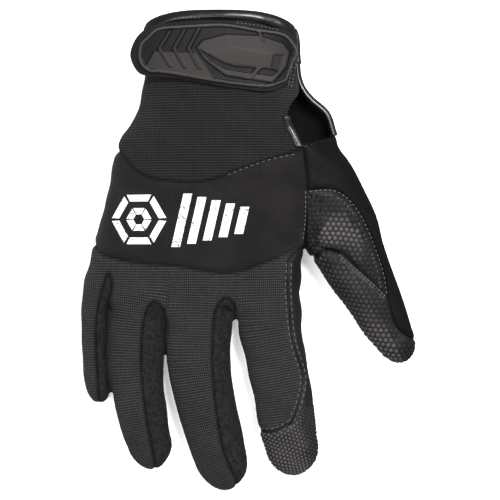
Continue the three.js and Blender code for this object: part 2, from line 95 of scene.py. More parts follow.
CAP_DOT_PITCH = 2.0  # and of the smaller ones on the index finger's tip
CAP_DOT_RADIUS = 0.84
PALM_DOT_SPACING = 1.12  # how much wider the palm's dots are spaced than the thumb's
DOT_RISE = 0.3
LAST_TURN = 1.4  # how far the rows of dots go round a digit's end, in radians
PALM_DOT_ROWS = range(-70, 70)
PALM_DOT_COLUMNS = range(-45, 50)
PALM_DOT_TOP = 2.2  # how high the palm may rise from the floor where it still has dots
PALM_DOT_FLAT = 0.85  # and how flat it is there, as the upright part of its normal
PALM_DOT_END = 96  # the y at the wrist where they end
ROUND = 6  # sides of a thread or a dot

# Sections of the palm body: y, left, right, top, height of the widest line, depth below that line
BODY = np.array([
    (124, -47, 22, 30, 14, 14),
    (110, -50, 25.3, 30.5, 14, 14),
    (97, -51, 26, 30, 14, 14),
    (85, -51, 27.3, 29.5, 13.5, 14),
    (77, -52.5, 32, 30, 13, 15),
    (69, -54.5, 40.7, 31, 13, 16),
    (61, -59, 43.8, 32, 13, 17),
    (53, -63.5, 45.5, 33, 13, 18),
    (40, -65.7, 44, 34, 13, 18),
    (21, -69.6, 37, 34, 13, 17),
    (5, -74.2, 30.5, 33, 13, 16),
    (-6, -76.3, 27.5, 31, 12.5, 14),
    (-14, -78.5, 26.5, 28.5, 12, 13),
])
BODY_CAP = 22.0
BODY_POWER = 2.4
DIGIT_POWER = 2.3

# Sections of each digit: x, y, half width, top, height of the widest line, depth below that line
DIGITS = {
    "index": (16, [
        (9, 5, 13, 30, 14, 15), (11, -15, 14.6, 28, 13, 13), (11.6, -27, 15.8, 24.5, 12, 11),
        (12.2, -39, 15.6, 22.5, 11.5, 10), (15.2, -55, 14.8, 21.5, 11, 9.5), (18.2, -71, 14.5, 20, 10, 9.5),
        (20.4, -87, 14, 18, 9, 10), (22.7, -97, 13, 16, 8.5, 10)]),
    "middle": (17.8, [
        (-20, 5, 13, 31, 14, 15), (-22.5, -15, 15, 29, 13, 13), (-23.3, -27, 16.2, 25.5, 12.5, 11),
        (-23.4, -39, 16.3, 23, 12, 10), (-23.5, -55, 15.8, 22, 11.5, 9.5), (-21.4, -71, 15, 21, 10.5, 9.5),
        (-17.6, -87, 14.3, 19, 9.5, 10), (-12.9, -103, 13.2, 16.5, 8.5, 10)]),
    "ring": (14, [
        (-46, 5, 12, 30, 14, 15), (-50, -15, 13, 27, 12.5, 13), (-53.2, -27, 13.4, 24, 12, 11),
        (-54.5, -39, 14, 22, 11.5, 10), (-55.2, -55, 13.6, 21, 11, 9.5), (-54, -71, 12.7, 20, 10, 9.5),
        (-51, -87, 12, 18, 9, 10), (-48.7, -96, 11.1, 16, 8.5, 10)]),
    "little": (10, [
        (-58, 12, 9, 25, 12, 14), (-68.4, -5, 8.4, 25, 12, 12), (-73.6, -17, 7.2, 22.5, 11.5, 10.5),
        (-75.5, -27, 7, 20.5, 10.5, 10), (-75.8, -39, 6.6, 19.5, 10, 9.5), (-75.3, -55, 6.5, 18.5, 9.5, 9.5),
        (-74.2, -67, 6.2, 16.5, 9, 10)]),
    "thumb": (12.4, [
        (14, 56, 15, 29, 14, 14), (30.5, 38, 20.5, 31, 13.5, 16), (45.5, 13, 19.8, 28.5, 13, 15),
        (52.8, -2.8, 17.1, 25.5, 12, 14), (61.1, -18.4, 14.7, 22.5, 11, 12.5),
        (69.2, -34.2, 12, 19.5, 10, 12), (74.5, -44.3, 9.8, 17, 9, 11)]),
}

# Sections of the form that the strap is bent over, columns as in BODY
STRAP_FORM = np.array([
    (124, -62, 24.2, 32, 14, 14),
    (110, -63, 27, 32.4, 14, 14),
    (97, -64, 27.4, 31.9, 14, 14),
    (85, -63, 28.8, 31, 13.5, 14),
    (77, -62, 33.2, 31.5, 13, 15),
    (69, -62, 41.6, 32.5, 13, 16),
])

# Seams and edges seen from above, each a smooth line through its points
KNUCKLE_TOP = [
    (-90, 72), (-72, 57), (-62.5, 48), (-52.5, 37.8), (-37, 33.8), (-18.5, 34), (-2.5, 39.8), (28.2, 50),
]
KNUCKLE_BOTTOM = [
    (-92, 18), (-80, 9), (-71.5, -1.6), (-56.2, -5.9), (-33.3, -8.1), (-8, -11.4), (12.7, -4.7), (29, 3),
]
THUMB_SEAM = [(28.2, 50), (30.2, 31), (29.5, 20), (29, 3), (30.7, -6)]
SLIT_EDGE = [
    (28.2, 50), (24.6, 57.5), (21.6, 63.5), (21.2, 69), (23.2, 73.5), (26.2, 77.5), (26.6, 81.5), (25.7, 86),
    (24.4, 91), (24.3, 97), (23.8, 110), (21, 126),
]
SLIT_HEM = [(28.2, 50), (30.6, 53), (35, 54.7), (40, 55.8), (43.5, 57), (60, 62)]
SADDLE_ARC = [(30.2, 29.3), (43.5, 29.6), (51.5, 24.6), (58.6, 14.4), (66, -3), (69.2, -14), (70.6, -23.4)]
THUMB_CROSS = [(30.7, -6), (38, -1), (46, -1.5), (57.5, -11.5), (64.5, -17.5), (70.6, -23.4)]
THUMB_SIDE = [(70.6, -23.4), (72.2, -31), (74.6, -37.5), (79, -42), (86, -45), (95, -47)]
INDEX_SEAM = [
    (29, 3), (21.2, -6), (20.9, -20), (23.3, -44.7), (28.6, -63.8), (27, -74), (22.5, -86), (12, -90.5),
    (1.2, -88.5),
]
FOURCHETTES = {
    "index_middle": (
        (-9.5, -23.5),
        [(-14.5, -28), (-16.8, -48.3), (-15.5, -73.8), (-11.5, -99.3), (-5, -116), (-3, -126)],
        [(-5.2, -28), (-5.5, -39), (-4, -55), (-1.7, -71), (1, -87), (3.5, -103), (5, -126)]),
    "middle_ring": (
        (-45.2, -25.3),
        [(-49.5, -30), (-52.2, -54.5), (-49.7, -83.4), (-46.5, -101.9), (-45, -118)],
        [(-40.5, -30), (-40.2, -45), (-40, -55), (-38.6, -71), (-36, -87), (-33, -103), (-32, -126)]),
    "ring_little": (
        (-67.8, -11),
        [(-71.6, -20), (-74.8, -38), (-74.4, -58), (-73.9, -72), (-73.6, -90)],
        [(-66.5, -18), (-68.2, -27), (-69.3, -39), (-69.5, -55), (-68, -72), (-66, -90)]),
}
CUFF_EDGE = {"x": -14.3, "reach": 44.8, "y": 95.0, "rise": 23.3, "power": 3.0}
SIDE_STITCHES = [(29.3, 29.5), (29.3, 16), (28.8, 10), (28.2, 5), (27.9, 2.5)]
CUFF_STITCHES = [
    [(-36, 113.8), (-29, 113.9), (-22, 114)],
    [(-5, 111.2), (2, 110.6), (9.4, 109.5), (16.8, 107.9)],
]
TAB_STITCHES = [(22.9, 95), (22.4, 90), (21.4, 84.5), (20.4, 81)]
SADDLE_PAD = [
    (38.9, 13.8), (41.4, 18.2), (48.8, 19.2), (52.2, 13.8), (55.2, 9.9), (57.7, 2.5), (57.7, -5.9),
    (51.3, -5.9), (50.3, 0), (46.3, 1), (36.5, 2), (36, 6.9),
]
STRAP_OUTLINE = [
    (-56.5, 96.5), (-55.2, 91.7), (-51.8, 87), (-47.2, 85.6), (-35, 84.6), (-27.4, 83.3),
    (-10.3, 80.2), (-0.5, 78.8), (11, 77.9), (16.8, 79.6), (20.6, 82.2), (22.8, 86.5),
    (24.7, 95), (24.7, 99), (23.4, 103.3), (21.3, 106.8), (17.5, 108.5), (5, 110.2),
    (-10, 112.3), (-27.4, 111.9), (-43, 110.7), (-49.3, 108.3), (-53.9, 103.8),
]
TAB_OUTLINE = [
    (-44.5, 107), (-42.1, 108.5), (-27.4, 109.7), (-10.3, 110.2), (4.9, 108), (16.7, 106.3),
    (19.4, 104.6), (23.3, 97.5), (21.6, 93.1), (19.9, 87.7), (18.2, 82.8), (14.7, 80.8),
    (10.8, 79.3), (-0.5, 80.1), (-10.3, 81.5), (-20.1, 83.2), (-27.4, 84.7), (-34.8, 86.2),
    (-42.1, 87.4), (-46, 87.7), (-48.4, 89.2), (-50.8, 92.6), (-51.3, 97.5), (-49.8, 102),
    (-47.4, 104.1),
]
# The tab's relief: outlines in plan
CHEVRONS = {
    "count": 3, "x": -42.6, "y": 98.6, "pitch": 6.9, "lean": 5.4, "reach": 8.2, "width": 1.9, "tilt": 0.6,
}
LOWER_FIELD = [
    (-48.5, 89.7), (-44.1, 97.5), (-24.5, 96.6), (-19.6, 90.2), (-15.6, 83.3), (-27.4, 85.3),
    (-37.2, 87.3),
]
PLATE = [
    (-24, 99), (-21, 102.5), (-9.8, 105.4), (5.9, 104.9), (16.7, 101.5), (19.6, 97.1),
    (18.2, 90.2), (12.3, 81.4), (-9.8, 85.3), (-20.5, 93.6),
]
PLATE_GROOVE = [
    (-23, 98.5), (-19.1, 96.1), (-10.7, 91.7), (-5.8, 90.2), (11.8, 88.7), (14.7, 87.7),
    (11.8, 85.3), (2, 86.5), (-10.7, 88.7), (-17.1, 92.6),
]
ARROW = [
    (-19.1, 96.6), (-7.8, 99), (-2.9, 98.8), (12.3, 96.1), (11.3, 89.2), (5.9, 90),
    (-6.8, 91.2), (-10.7, 92.6),
]
ARROW_END = [(12.3, 95.6), (17.2, 96.1), (15.2, 88.2), (11.3, 89.7)]
PLATE_BARS = [
    [(4.7, 107.2), (6.4, 107), (8.4, 102), (6.9, 102)],
    [(4.9, 89.7), (7.4, 89.5), (2, 83.1), (-1.2, 83.3)],
]


# Small sums on rows of numbers
def unit(rows):
    """Each row of an array made one long."""
    return rows / np.maximum(np.linalg.norm(rows, axis=1), 1e-6)[:, None]


def running(steps):
    """How far along a line each of its points is, from the steps between them."""
    return np.concatenate([[0], np.cumsum(steps)])


def slope(level, p, step):
    """The gradient of a function of places, at each place."""
    out = np.empty_like(p)
    for axis, d in enumerate(step * np.eye(3)):
        out[:, axis] = (level(p + d) - level(p - d)) / (2 * step)
    return out


def oval(across, up, power, half, top, mid, dip):
    """Places round an oval section, from the sides of its angles, and how far round it each is."""
    u = np.sign(across) * np.abs(across) ** (2 / power) * half
    z = np.sign(up) * np.abs(up) ** (2 / power) * np.where(up > 0, top - mid, dip)
    return u, z, running(np.hypot(np.diff(u), np.diff(z)))


# Smooth tables and lines
def catmull(rows, per_span):
    """The rows of a table and smooth ones between them."""
    rows = np.asarray(rows, float)
    n = len(rows)
    out = []
    for i in range(n - 1):
        p, a, b, q = rows[max(i - 1, 0)], rows[i], rows[i + 1], rows[min(i + 2, n - 1)]
        for f in np.arange(per_span) / per_span:
            out.append(0.5 * (2 * a + (b - p) * f + (2 * p - 5 * a + 4 * b - q) * f**2
                              + (3 * a - p - 3 * b + q) * f**3))
    out.append(rows[-1])
    return np.array(out)


def smooth_line(points, step=1.5, closed=False):
    """A centripetal smooth line through points, with a point about every step."""
    pts = [np.array(p, float) for p in points]
    if closed:
        pts = [pts[-1]] + pts + pts[:2]
    else:
        pts = [2 * pts[0] - pts[1]] + pts + [2 * pts[-1] - pts[-2]]
    out = []
    for p0, p1, p2, p3 in zip(pts, pts[1:], pts[2:], pts[3:]):
        knots = [0.0]
        for a, b in ((p0, p1), (p1, p2), (p2, p3)):
            knots.append(knots[-1] + max(np.linalg.norm(b - a), 1e-6) ** 0.5)
        t0, t1, t2, t3 = knots
        count = max(2, int(np.linalg.norm(p2 - p1) / step))
        for t in t1 + (t2 - t1) * np.arange(count) / count:
            a1 = (t1 - t) / (t1 - t0) * p0 + (t - t0) / (t1 - t0) * p1
            a2 = (t2 - t) / (t2 - t1) * p1 + (t - t1) / (t2 - t1) * p2
            a3 = (t3 - t) / (t3 - t2) * p2 + (t - t2) / (t3 - t2) * p3
            b1 = (t2 - t) / (t2 - t0) * a1 + (t - t0) / (t2 - t0) * a2
            b2 = (t3 - t) / (t3 - t1) * a2 + (t - t1) / (t3 - t1) * a3
            out.append((t2 - t) / (t2 - t1) * b1 + (t - t1) / (t2 - t1) * b2)
    if not closed:
        out.append(pts[-2])
    return np.array(out)


def line_distance(points, line):
    """Distance in plan from each point to an open line."""
    best = np.full(len(points), 1e9)
    for a, b in zip(line, line[1:]):
        ab = b - a
        t = np.clip(((points - a) @ ab) / max(ab @ ab, 1e-12), 0, 1)
        best = np.minimum(best, np.linalg.norm(points - a - t[:, None] * ab, axis=1))
    return best


def inside_distance(points, outline):
    """Distance in plan to a closed outline, above 0 inside it."""
    closed = np.vstack([outline, outline[:1]])
    inside = np.zeros(len(points), bool)
    for (x0, y0), (x1, y1) in zip(closed, closed[1:]):
        if y0 == y1:
            continue
        crosses = (y0 > points[:, 1]) != (y1 > points[:, 1])
        inside ^= crosses & (points[:, 0] < (x1 - x0) * (points[:, 1] - y0) / (y1 - y0) + x0)
    return np.where(inside, 1, -1) * line_distance(points, closed)


def ease(t):
    """A soft step from 0 to 1."""
    t = np.clip(t, 0, 1)
    return t * t * (3 - 2 * t)


def bell(d, width):
    """1 where d is 0, and soft down to 0 on both sides."""
    return np.exp(-((d / width) ** 2))


def soft_min(a, b, k):
    """The smaller of two values, blended where they differ by less than k."""
    h = np.clip(0.5 + 0.5 * (b - a) / k, 0, 1)
    return b * (1 - h) + a * h - k * h * (1 - h)


# The form
ROWS_PER_SPAN = 6  # smooth rows for each row of a digit's table
ROOT_LENGTH = 8.0  # length of a digit's rounded root, inside the palm


class Tube:
    """A tube through a table of sections with a rounded end. Distances are about true near its surface."""

    def __init__(self, rows, tip, power, straight=False):
        self.table = catmull(rows, ROWS_PER_SPAN)
        self.tip = tip
        self.power = power
        self.straight = straight
        xy = self.table[:, :2]
        self.along = running(np.linalg.norm(np.diff(xy, axis=0), axis=1))
        margin = self.table[:, 2].max() + tip + 10
        self.low, self.high = xy.min(0) - margin, xy.max(0) + margin

    def near(self, p):
        """Which points are near enough for this tube to shape the form there."""
        return ((p[:, :2] > self.low) & (p[:, :2] < self.high)).all(1)

    def plan(self, x, y):
        """What the distance needs of each place in plan: section sizes, across, beyond the end, along."""
        if self.straight:
            rows = self.table[::-1]
            yy = np.clip(y, rows[0, 1], rows[-1, 1])
            section = [np.interp(yy, rows[:, 1], rows[:, c]) for c in (0, 2, 3, 4, 5)]
            beyond = np.where(y < rows[0, 1], (rows[0, 1] - y) / self.tip, 0)
            return section[1:], x - section[0], beyond, self.table[0, 1] - y
        p = np.stack([x, y], -1)
        best = np.full(x.shape, 1e9)
        where, across, over = np.zeros((3, *x.shape))
        last = len(self.table) - 2
        for i in range(last + 1):
            a, b = self.table[i, :2], self.table[i + 1, :2]
            length = np.linalg.norm(b - a)
            d = (b - a) / length
            s = (p - a) @ d
            c = np.clip(s, 0, length)
            off = p - a - c[..., None] * d
            far = np.linalg.norm(off, axis=-1)
            side = off @ np.array([-d[1], d[0]])
            near = far < best
            best = np.where(near, far, best)
            where = np.where(near, i + c / length, where)
            across = np.where(near, side, across)
            ends = np.where(s > length, s - length, 0) if i == last else 0
            starts = np.where(s < 0, s, 0) if i == 0 else 0
            over = np.where(near, ends + starts, over)
        index = np.arange(len(self.table))
        section = [np.interp(where, index, self.table[:, c]) for c in (2, 3, 4, 5)]
        beyond = np.where(over > 0, over / self.tip, -over / ROOT_LENGTH)
        return section, across, beyond, np.interp(where, index, self.along) + over

    def distance(self, plan, z):
        (half, top, mid, dip), u, beyond, _ = plan
        reach = np.where(z > mid, top - mid, dip)
        flat = (np.abs(u / half) ** self.power + np.abs((z - mid) / reach) ** self.power) ** (1 / self.power)
        rho = np.sqrt(flat**2 + beyond**2) + 1e-6
        size = np.sqrt(u**2 + (z - mid) ** 2 + (beyond * np.where(beyond > 0, self.tip, 1)) ** 2) + 1e-6
        return (rho - 1) * size / rho


def body_rows(table):
    """BODY's columns as a digit's: centre x, y, half width, top, mid, dip."""
    y, left, right, top, mid, dip = table.T
    return np.stack([(left + right) / 2, y, (right - left) / 2, top, mid, dip], 1)


TUBES = {name: Tube(rows, tip, DIGIT_POWER) for name, (tip, rows) in DIGITS.items()}
TUBES["body"] = Tube(body_rows(BODY), BODY_CAP, BODY_POWER, straight=True)
FINGERS = ("little", "ring", "middle", "index")
FINGER_JOIN = {"ring": 3.6, "middle": 3.8, "index": 2.8}  # how softly each runs into the one before it
BODY_JOIN = 4.5  # how softly the fingers run into the palm
THUMB_JOIN = 3.0
FAR = 60.0  # the distance given for a tube that is out of reach


def join_tubes(distances, z):
    """One smooth form from each tube's distance, flattened where it lies on the surface below."""
    d = distances["body"]
    fingers = distances["little"]
    for name in FINGERS[1:]:
        fingers = soft_min(fingers, distances[name], FINGER_JOIN[name])
    d = soft_min(d, fingers, BODY_JOIN)
    d = soft_min(d, distances["thumb"], THUMB_JOIN)
    return -soft_min(-d, z, FLOOR_ROUND)


def form(p):
    """Distance of each point from the glove's outer skin, above 0 outside."""
    distances = {}
    for name, tube in TUBES.items():
        near = tube.near(p)
        distances[name] = np.full(len(p), FAR)
        x, y, z = p[near].T
        distances[name][near] = tube.distance(tube.plan(x, y), z)
    return join_tubes(distances, p[:, 2])


def gradient(p, step=0.02):
    """The form's gradient at each point."""
    here = form(p)
    return np.stack([form(p + d) - here for d in step * np.eye(3)], 1) / step


def onto_form(p):
    """The points, moved onto the form's skin."""
    g = gradient(p)
    return p - (form(p) / np.maximum((g * g).sum(1), 0.2))[:, None] * g


def halved(quads):
    """Each face with four corners as two triangles."""
    return np.vstack([quads[:, [0, 1, 2]], quads[:, [0, 2, 3]]])


def skin():
    """The form's surface as even quads: one vertex in each cell that the surface crosses."""
    xs, ys, zs = (np.arange(low, high, CELL) for low, high in FORM_BOX)
    gx, gy = np.meshgrid(xs, ys, indexing="ij")
    plans = {n: t.plan(gx, gy) for n, t in TUBES.items()}
    field = np.stack([join_tubes({n: t.distance(plans[n], z) for n, t in TUBES.items()}, np.full(gx.shape, z))
                      for z in zs], -1)
    solid = field < 0
    total = np.zeros([n - 1 for n in field.shape] + [3])
    count = np.zeros([n - 1 for n in field.shape])
    corners = [(i, j, k) for i in (0, 1) for j in (0, 1) for k in (0, 1)]

    def part(array, c):
        i, j, k = c
        return array[i:array.shape[0] - 1 + i, j:array.shape[1] - 1 + j, k:array.shape[2] - 1 + k]

    for a in corners:
        for axis in range(3):
            if a[axis]:
                continue
            b = tuple(1 if i == axis else v for i, v in enumerate(a))
            fa, fb = part(field, a), part(field, b)
            cut = (fa < 0) != (fb < 0)
            t = np.where(cut, fa / np.where(cut, fa - fb, 1), 0)
            place = np.array(a, float)[None, None, None] + t[..., None] * np.eye(3)[axis]
            total += np.where(cut[..., None], place, 0)
            count += cut
    used = count > 0
    number = np.full(used.shape, -1)
    number[used] = np.arange(used.sum())
    cells = np.argwhere(used)
    vertices = (cells + total[used] / count[used][:, None]) * CELL + np.array([xs[0], ys[0], zs[0]])
    quads = []
    for axis in range(3):
        b, c = (axis + 1) % 3, (axis + 2) % 3
        lo = [slice(1, -1)] * 3
        hi = [slice(1, -1)] * 3
        lo[axis] = slice(0, -1)
        hi[axis] = slice(1, None)
        first, second = solid[tuple(lo)], solid[tuple(hi)]
        for flip, crossing in ((False, first & ~second), (True, ~first & second)):
            at = np.argwhere(crossing)
            at[:, b] += 1
            at[:, c] += 1
            around = []
            for db, dc in ((0, 0), (-1, 0), (-1, -1), (0, -1)):
                cell = at.copy()
                cell[:, b] += db
                cell[:, c] += dc
                around.append(number[tuple(cell.T)])
            quad = np.stack(around, 1)
            quads.append(quad[:, ::-1] if flip else quad)
    return onto_form(onto_form(vertices)), halved(np.vstack(quads))


# Surfaces as (vertices, triangles), in the tables' millimetres
def compact(vertices, triangles):
    used, index = np.unique(triangles, return_inverse=True)
    return vertices[used], index.reshape(triangles.shape)


def weld(*meshes):
    """One surface from several, with corners at the same place joined."""
    vertices = np.vstack([m[0] for m in meshes])
    starts = np.cumsum([0] + [len(m[0]) for m in meshes[:-1]])
    triangles = np.vstack([m[1] + s for m, s in zip(meshes, starts)])
    _, first, index = np.unique(np.round(vertices * 1000).astype(np.int64), axis=0,
                                return_index=True, return_inverse=True)
    triangles = index.reshape(-1)[triangles]
    whole = ((triangles[:, 0] != triangles[:, 1]) & (triangles[:, 1] != triangles[:, 2])
             & (triangles[:, 0] != triangles[:, 2]))
    return compact(vertices[first], triangles[whole])


def cut(mesh, level, project=onto_form, snap=0.2):
    """Splits a surface where level is 0: (the part where it is above 0, the part below)."""
    vertices, triangles = mesh[0].copy(), mesh[1]
    if not len(triangles):
        return mesh, mesh
    value = level(vertices)
    near = np.abs(value) < snap
    if near.any():
        p = vertices[near]
        g = slope(level, p, 0.02)
        p = p - (value[near] / np.maximum((g * g).sum(1), 0.3))[:, None] * g
        vertices[near] = project(p)
        value[near] = 0
    sign = np.sign(value).astype(int)
    corner = sign[triangles]
    upper = [triangles[corner.min(1) >= 0]]
    lower = [triangles[(corner.max(1) <= 0) & (corner.min(1) < 0)]]
    mixed = triangles[(corner.min(1) < 0) & (corner.max(1) > 0)]
    if len(mixed):
        s = sign[mixed]
        has_zero = (s == 0).any(1)
        # the corner that starts each cut triangle: the one on the line, or the one alone on its side
        start = np.where(has_zero, np.argmax(s == 0, 1), np.argmax(s == -np.sign(s.sum(1))[:, None], 1))
        order = (start[:, None] + np.arange(3)) % 3
        mixed = np.take_along_axis(mixed, order, 1)
        s = np.take_along_axis(s, order, 1)
        a, b, c = mixed.T
        first = np.where(has_zero, b, a)
        edges = [np.stack([first, np.where(has_zero, c, b)], 1), np.stack([a, c], 1)[~has_zero]]
        keys = np.sort(np.vstack(edges), 1)
        unique, index = np.unique(keys, axis=0, return_inverse=True)
        index = index.reshape(-1)
        f0, f1 = value[unique[:, 0]], value[unique[:, 1]]
        t = f0 / (f0 - f1)
        points = project(vertices[unique[:, 0]] * (1 - t)[:, None] + vertices[unique[:, 1]] * t[:, None])
        offset = len(vertices)
        vertices = np.vstack([vertices, points])
        ab = index[:len(mixed)] + offset
        ac = np.zeros(len(mixed), int)
        ac[~has_zero] = index[len(mixed):] + offset
        for up, out in ((1, upper), (-1, lower)):
            one, two = ~has_zero & (s[:, 0] == up), ~has_zero & (s[:, 0] == -up)
            for chosen, corners in (
                    (has_zero & (s[:, 1] == up), (a, b, ab)), (has_zero & (s[:, 2] == up), (a, ab, c)),
                    (one, (a, ab, ac)), (two, (ab, b, c)), (two, (ab, c, ac))):
                out.append(np.stack(corners, 1)[chosen])
    return compact(vertices, np.vstack(upper)), compact(vertices, np.vstack(lower))


def main_part(mesh):
    """(the largest connected part of a surface, all the rest of it)"""
    vertices, triangles = mesh
    label = np.arange(len(vertices))
    while True:
        low = label[triangles].min(1)
        new = label.copy()
        for k in range(3):
            np.minimum.at(new, triangles[:, k], low)
        new = new[new]
        if (new == label).all():
            break
        label = new
    names, count = np.unique(label[triangles[:, 0]], return_counts=True)
    main = label[triangles[:, 0]] == names[count.argmax()]
    return compact(vertices, triangles[main]), compact(vertices, triangles[~main])


def boundary_edges(triangles):
    edges = np.vstack([triangles[:, [0, 1]], triangles[:, [1, 2]], triangles[:, [2, 0]]])
    keys = np.sort(edges, 1)
    _, index, count = np.unique(keys, axis=0, return_index=True, return_counts=True)
    return edges[index[count == 1]]


def point_tree(points):
    tree = KDTree(len(points))
    for i, p in enumerate(points):
        tree.insert(p, i)
    tree.balance()
    return tree


def edge_distance(vertices, triangles, counts=lambda p: np.ones(len(p), bool), reach=9.0):
    """Distance of each vertex from the surface's own edge, up to reach."""
    edges = boundary_edges(triangles)
    a, b = vertices[edges[:, 0]], vertices[edges[:, 1]]
    points = np.vstack([a, a * 0.67 + b * 0.33, a * 0.33 + b * 0.67])
    tree = point_tree(points[counts(points)])
    return np.array([min(tree.find(p)[2], reach) for p in vertices])


def thicken(vertices, triangles, normals, low, high):
    """A closed wall between two offsets of a surface: vertices, triangles, and which triangles are inside."""
    n = len(vertices)
    points = np.vstack([vertices + normals * np.reshape(offset, (-1, 1)) for offset in (high, low)])
    edges = boundary_edges(triangles)
    a, b = edges.T
    rim = np.vstack([np.stack([a, a + n, b + n], 1), np.stack([a, b + n, b], 1)])
    faces = np.vstack([triangles, triangles[:, ::-1] + n, rim])
    inner = np.zeros(len(faces), bool)
    inner[len(triangles):2 * len(triangles)] = True
    return points, faces, inner


# Blender objects
MATERIALS = {}


def new_object(name, vertices, faces, material, slot, uv=None, inner=None, values=None, sharp=50):
    """A piece of the glove. uv and values are given for every vertex, or for one side of its wall."""
    mesh = bpy.data.meshes.new(name)
    faces = faces.tolist() if isinstance(faces, np.ndarray) else faces
    mesh.from_pydata(((vertices - MIDDLE) * MM).tolist(), [], faces)
    mesh.polygons.foreach_set("use_smooth", [True] * len(mesh.polygons))
    if uv is not None:
        uv = np.tile(uv, (len(vertices) // len(uv), 1))
        layer = mesh.uv_layers.new(name="cloth")
        loops = np.empty(len(mesh.loops), np.int64)
        mesh.loops.foreach_get("vertex_index", loops)
        layer.data.foreach_set("uv", (uv[loops] * MM).astype(np.float32).ravel())
    for key, value in (values or {}).items():
        value = np.tile(value, len(vertices) // len(value))
        mesh.attributes.new(key, "FLOAT", "POINT").data.foreach_set("value", value.astype(np.float32))
    mesh.materials.append(MATERIALS[material])
    if inner is not None:
        mesh.materials.append(MATERIALS["lining"])
        mesh.polygons.foreach_set("material_index", inner.astype(int))
    mesh.set_sharp_from_angle(angle=math.radians(sharp))
    mesh.update()
    made = bpy.data.objects.new(name, mesh)
    bpy.context.collection.objects.link(made)
    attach(made, "root")
    return made


PANELS = {}  # of each piece that another is laid on: its outer points and their triangles


def make_wall(name, key, mesh, normals, low, high, material, slot, lowest=0.0, lined=False, **more):
    """A piece that fills the space between two offsets of a surface, its outer side above a lowest height."""
    points, faces, inner = thicken(*mesh, normals, low, high)
    n = len(mesh[0])
    points[:n, 2] = np.maximum(points[:n, 2], lowest)
    points[n:, 2] = np.maximum(points[n:, 2], 0)
    PANELS[key] = {"points": points[:n], "triangles": mesh[1]}
    return new_object(name, points, faces, material, slot, inner=inner if lined else None, **more)


# Seam levels
knuckle_top = smooth_line(KNUCKLE_TOP)
knuckle_bottom = smooth_line(KNUCKLE_BOTTOM)
thumb_seam = smooth_line(THUMB_SEAM)
slit_edge = smooth_line(SLIT_EDGE)
slit_hem = smooth_line(SLIT_HEM)
saddle_arc = smooth_line(SADDLE_ARC)
thumb_cross = smooth_line(THUMB_CROSS)
thumb_side = smooth_line(THUMB_SIDE)
index_seam = smooth_line(INDEX_SEAM)
OUTLINES = {name: np.vstack(lines) for name, lines in {
    "slit": (slit_hem, [(70, 130), (20, 130)], slit_edge[::-1]),
    "back_panel": (knuckle_top, slit_edge[1:], [(-90, 126)]),
    "knuckle_panel": (knuckle_bottom, thumb_seam[thumb_seam[:, 1] > 3.5][::-1], knuckle_top[::-1]),
    "thumb_outer": (saddle_arc, thumb_side[1:], [(120, -47), (120, 84)], slit_hem[::-1],
                    thumb_seam[thumb_seam[:, 1] > 31]),
    "thumb_saddle": (thumb_cross, saddle_arc[-2::-1], thumb_seam[thumb_seam[:, 1] < 30]),
    "thumb_front": ([(30.7, -90), (120, -90), (120, -47)], thumb_side[::-1], thumb_cross[-2::-1]),
    "index_wrap": (index_seam, [(3, -135), (44, -135), (38, -45), (30.9, -6)]),
}.items()}
for name, (apex, shown, gap) in FOURCHETTES.items():
    OUTLINES["fourchette_" + name] = smooth_line(shown[::-1] + [apex] + gap)


def above(height):
    return lambda p: p[:, 2] - height


def inside_of(outline):
    return lambda p: inside_distance(p[:, :2], outline)


def cuff_level(p):
    """About the distance in from the cuff's edge, in plan."""
    e = CUFF_EDGE
    u = np.abs(p[:, 0] - e["x"]) / e["reach"]
    v = np.maximum(p[:, 1] - e["y"], 0) / e["rise"]
    rounded = (1 - (u ** e["power"] + v ** e["power"] + 1e-12) ** (1 / e["power"])) * e["rise"]
    return rounded + np.maximum(e["y"] - p[:, 1], 0)


# Folds and dents of the worn cloth: a line in plan, its depth (below 0 for a ridge) and its half width
FOLDS = [
    ((35.5, 1.5), (45, -3), 1.3, 1.6),
    ((-10, -30), (-8.5, -32), 2.2, 1.8),
    ((44, 8), (53, -10), 0.8, 2.6),
    ((33, 22), (39, 6), -0.6, 2.6),
    ((31.5, 26), (33.5, 5), 0.5, 0.9),
    ((34.5, 26), (35, 6), 0.5, 0.9),
    ((37.5, 24), (36.5, 8), 0.4, 0.9),
    ((20.5, 77), (21.5, 66), 1.2, 3.5),
    ((-48, 76), (-30, 74), 0.5, 3.0),
    ((2, 70), (17, 66), 0.5, 3.5),
    ((-28, -62), (-12, -60), 0.35, 2.0),
    ((-29, -52), (-13, -51), 0.3, 2.0),
    ((-60, -58), (-52, -57), 0.3, 2.0),
    ((9, -58), (22, -60), 0.35, 2.0),
    ((8, -49), (20, -50), 0.3, 2.0),
]


def folds(p, normals):
    """How far each point of the skin is pushed in."""
    depth = np.zeros(len(p))
    for a, b, deep, width in FOLDS:
        d = line_distance(p[:, :2], np.array([a, b], float))
        depth += deep * bell(d, width)
    x, y, z = p.T
    wave = np.sin(0.21 * x + 0.13 * y + 1.0) * np.sin(0.17 * y - 0.11 * x)
    wave += 0.6 * np.sin(0.37 * y + 0.29 * x + 2)
    upper = ease((z - 4) / 8)
    return depth * ease((normals[:, 2] + 0.1) / 0.5) + 0.35 * wave * upper


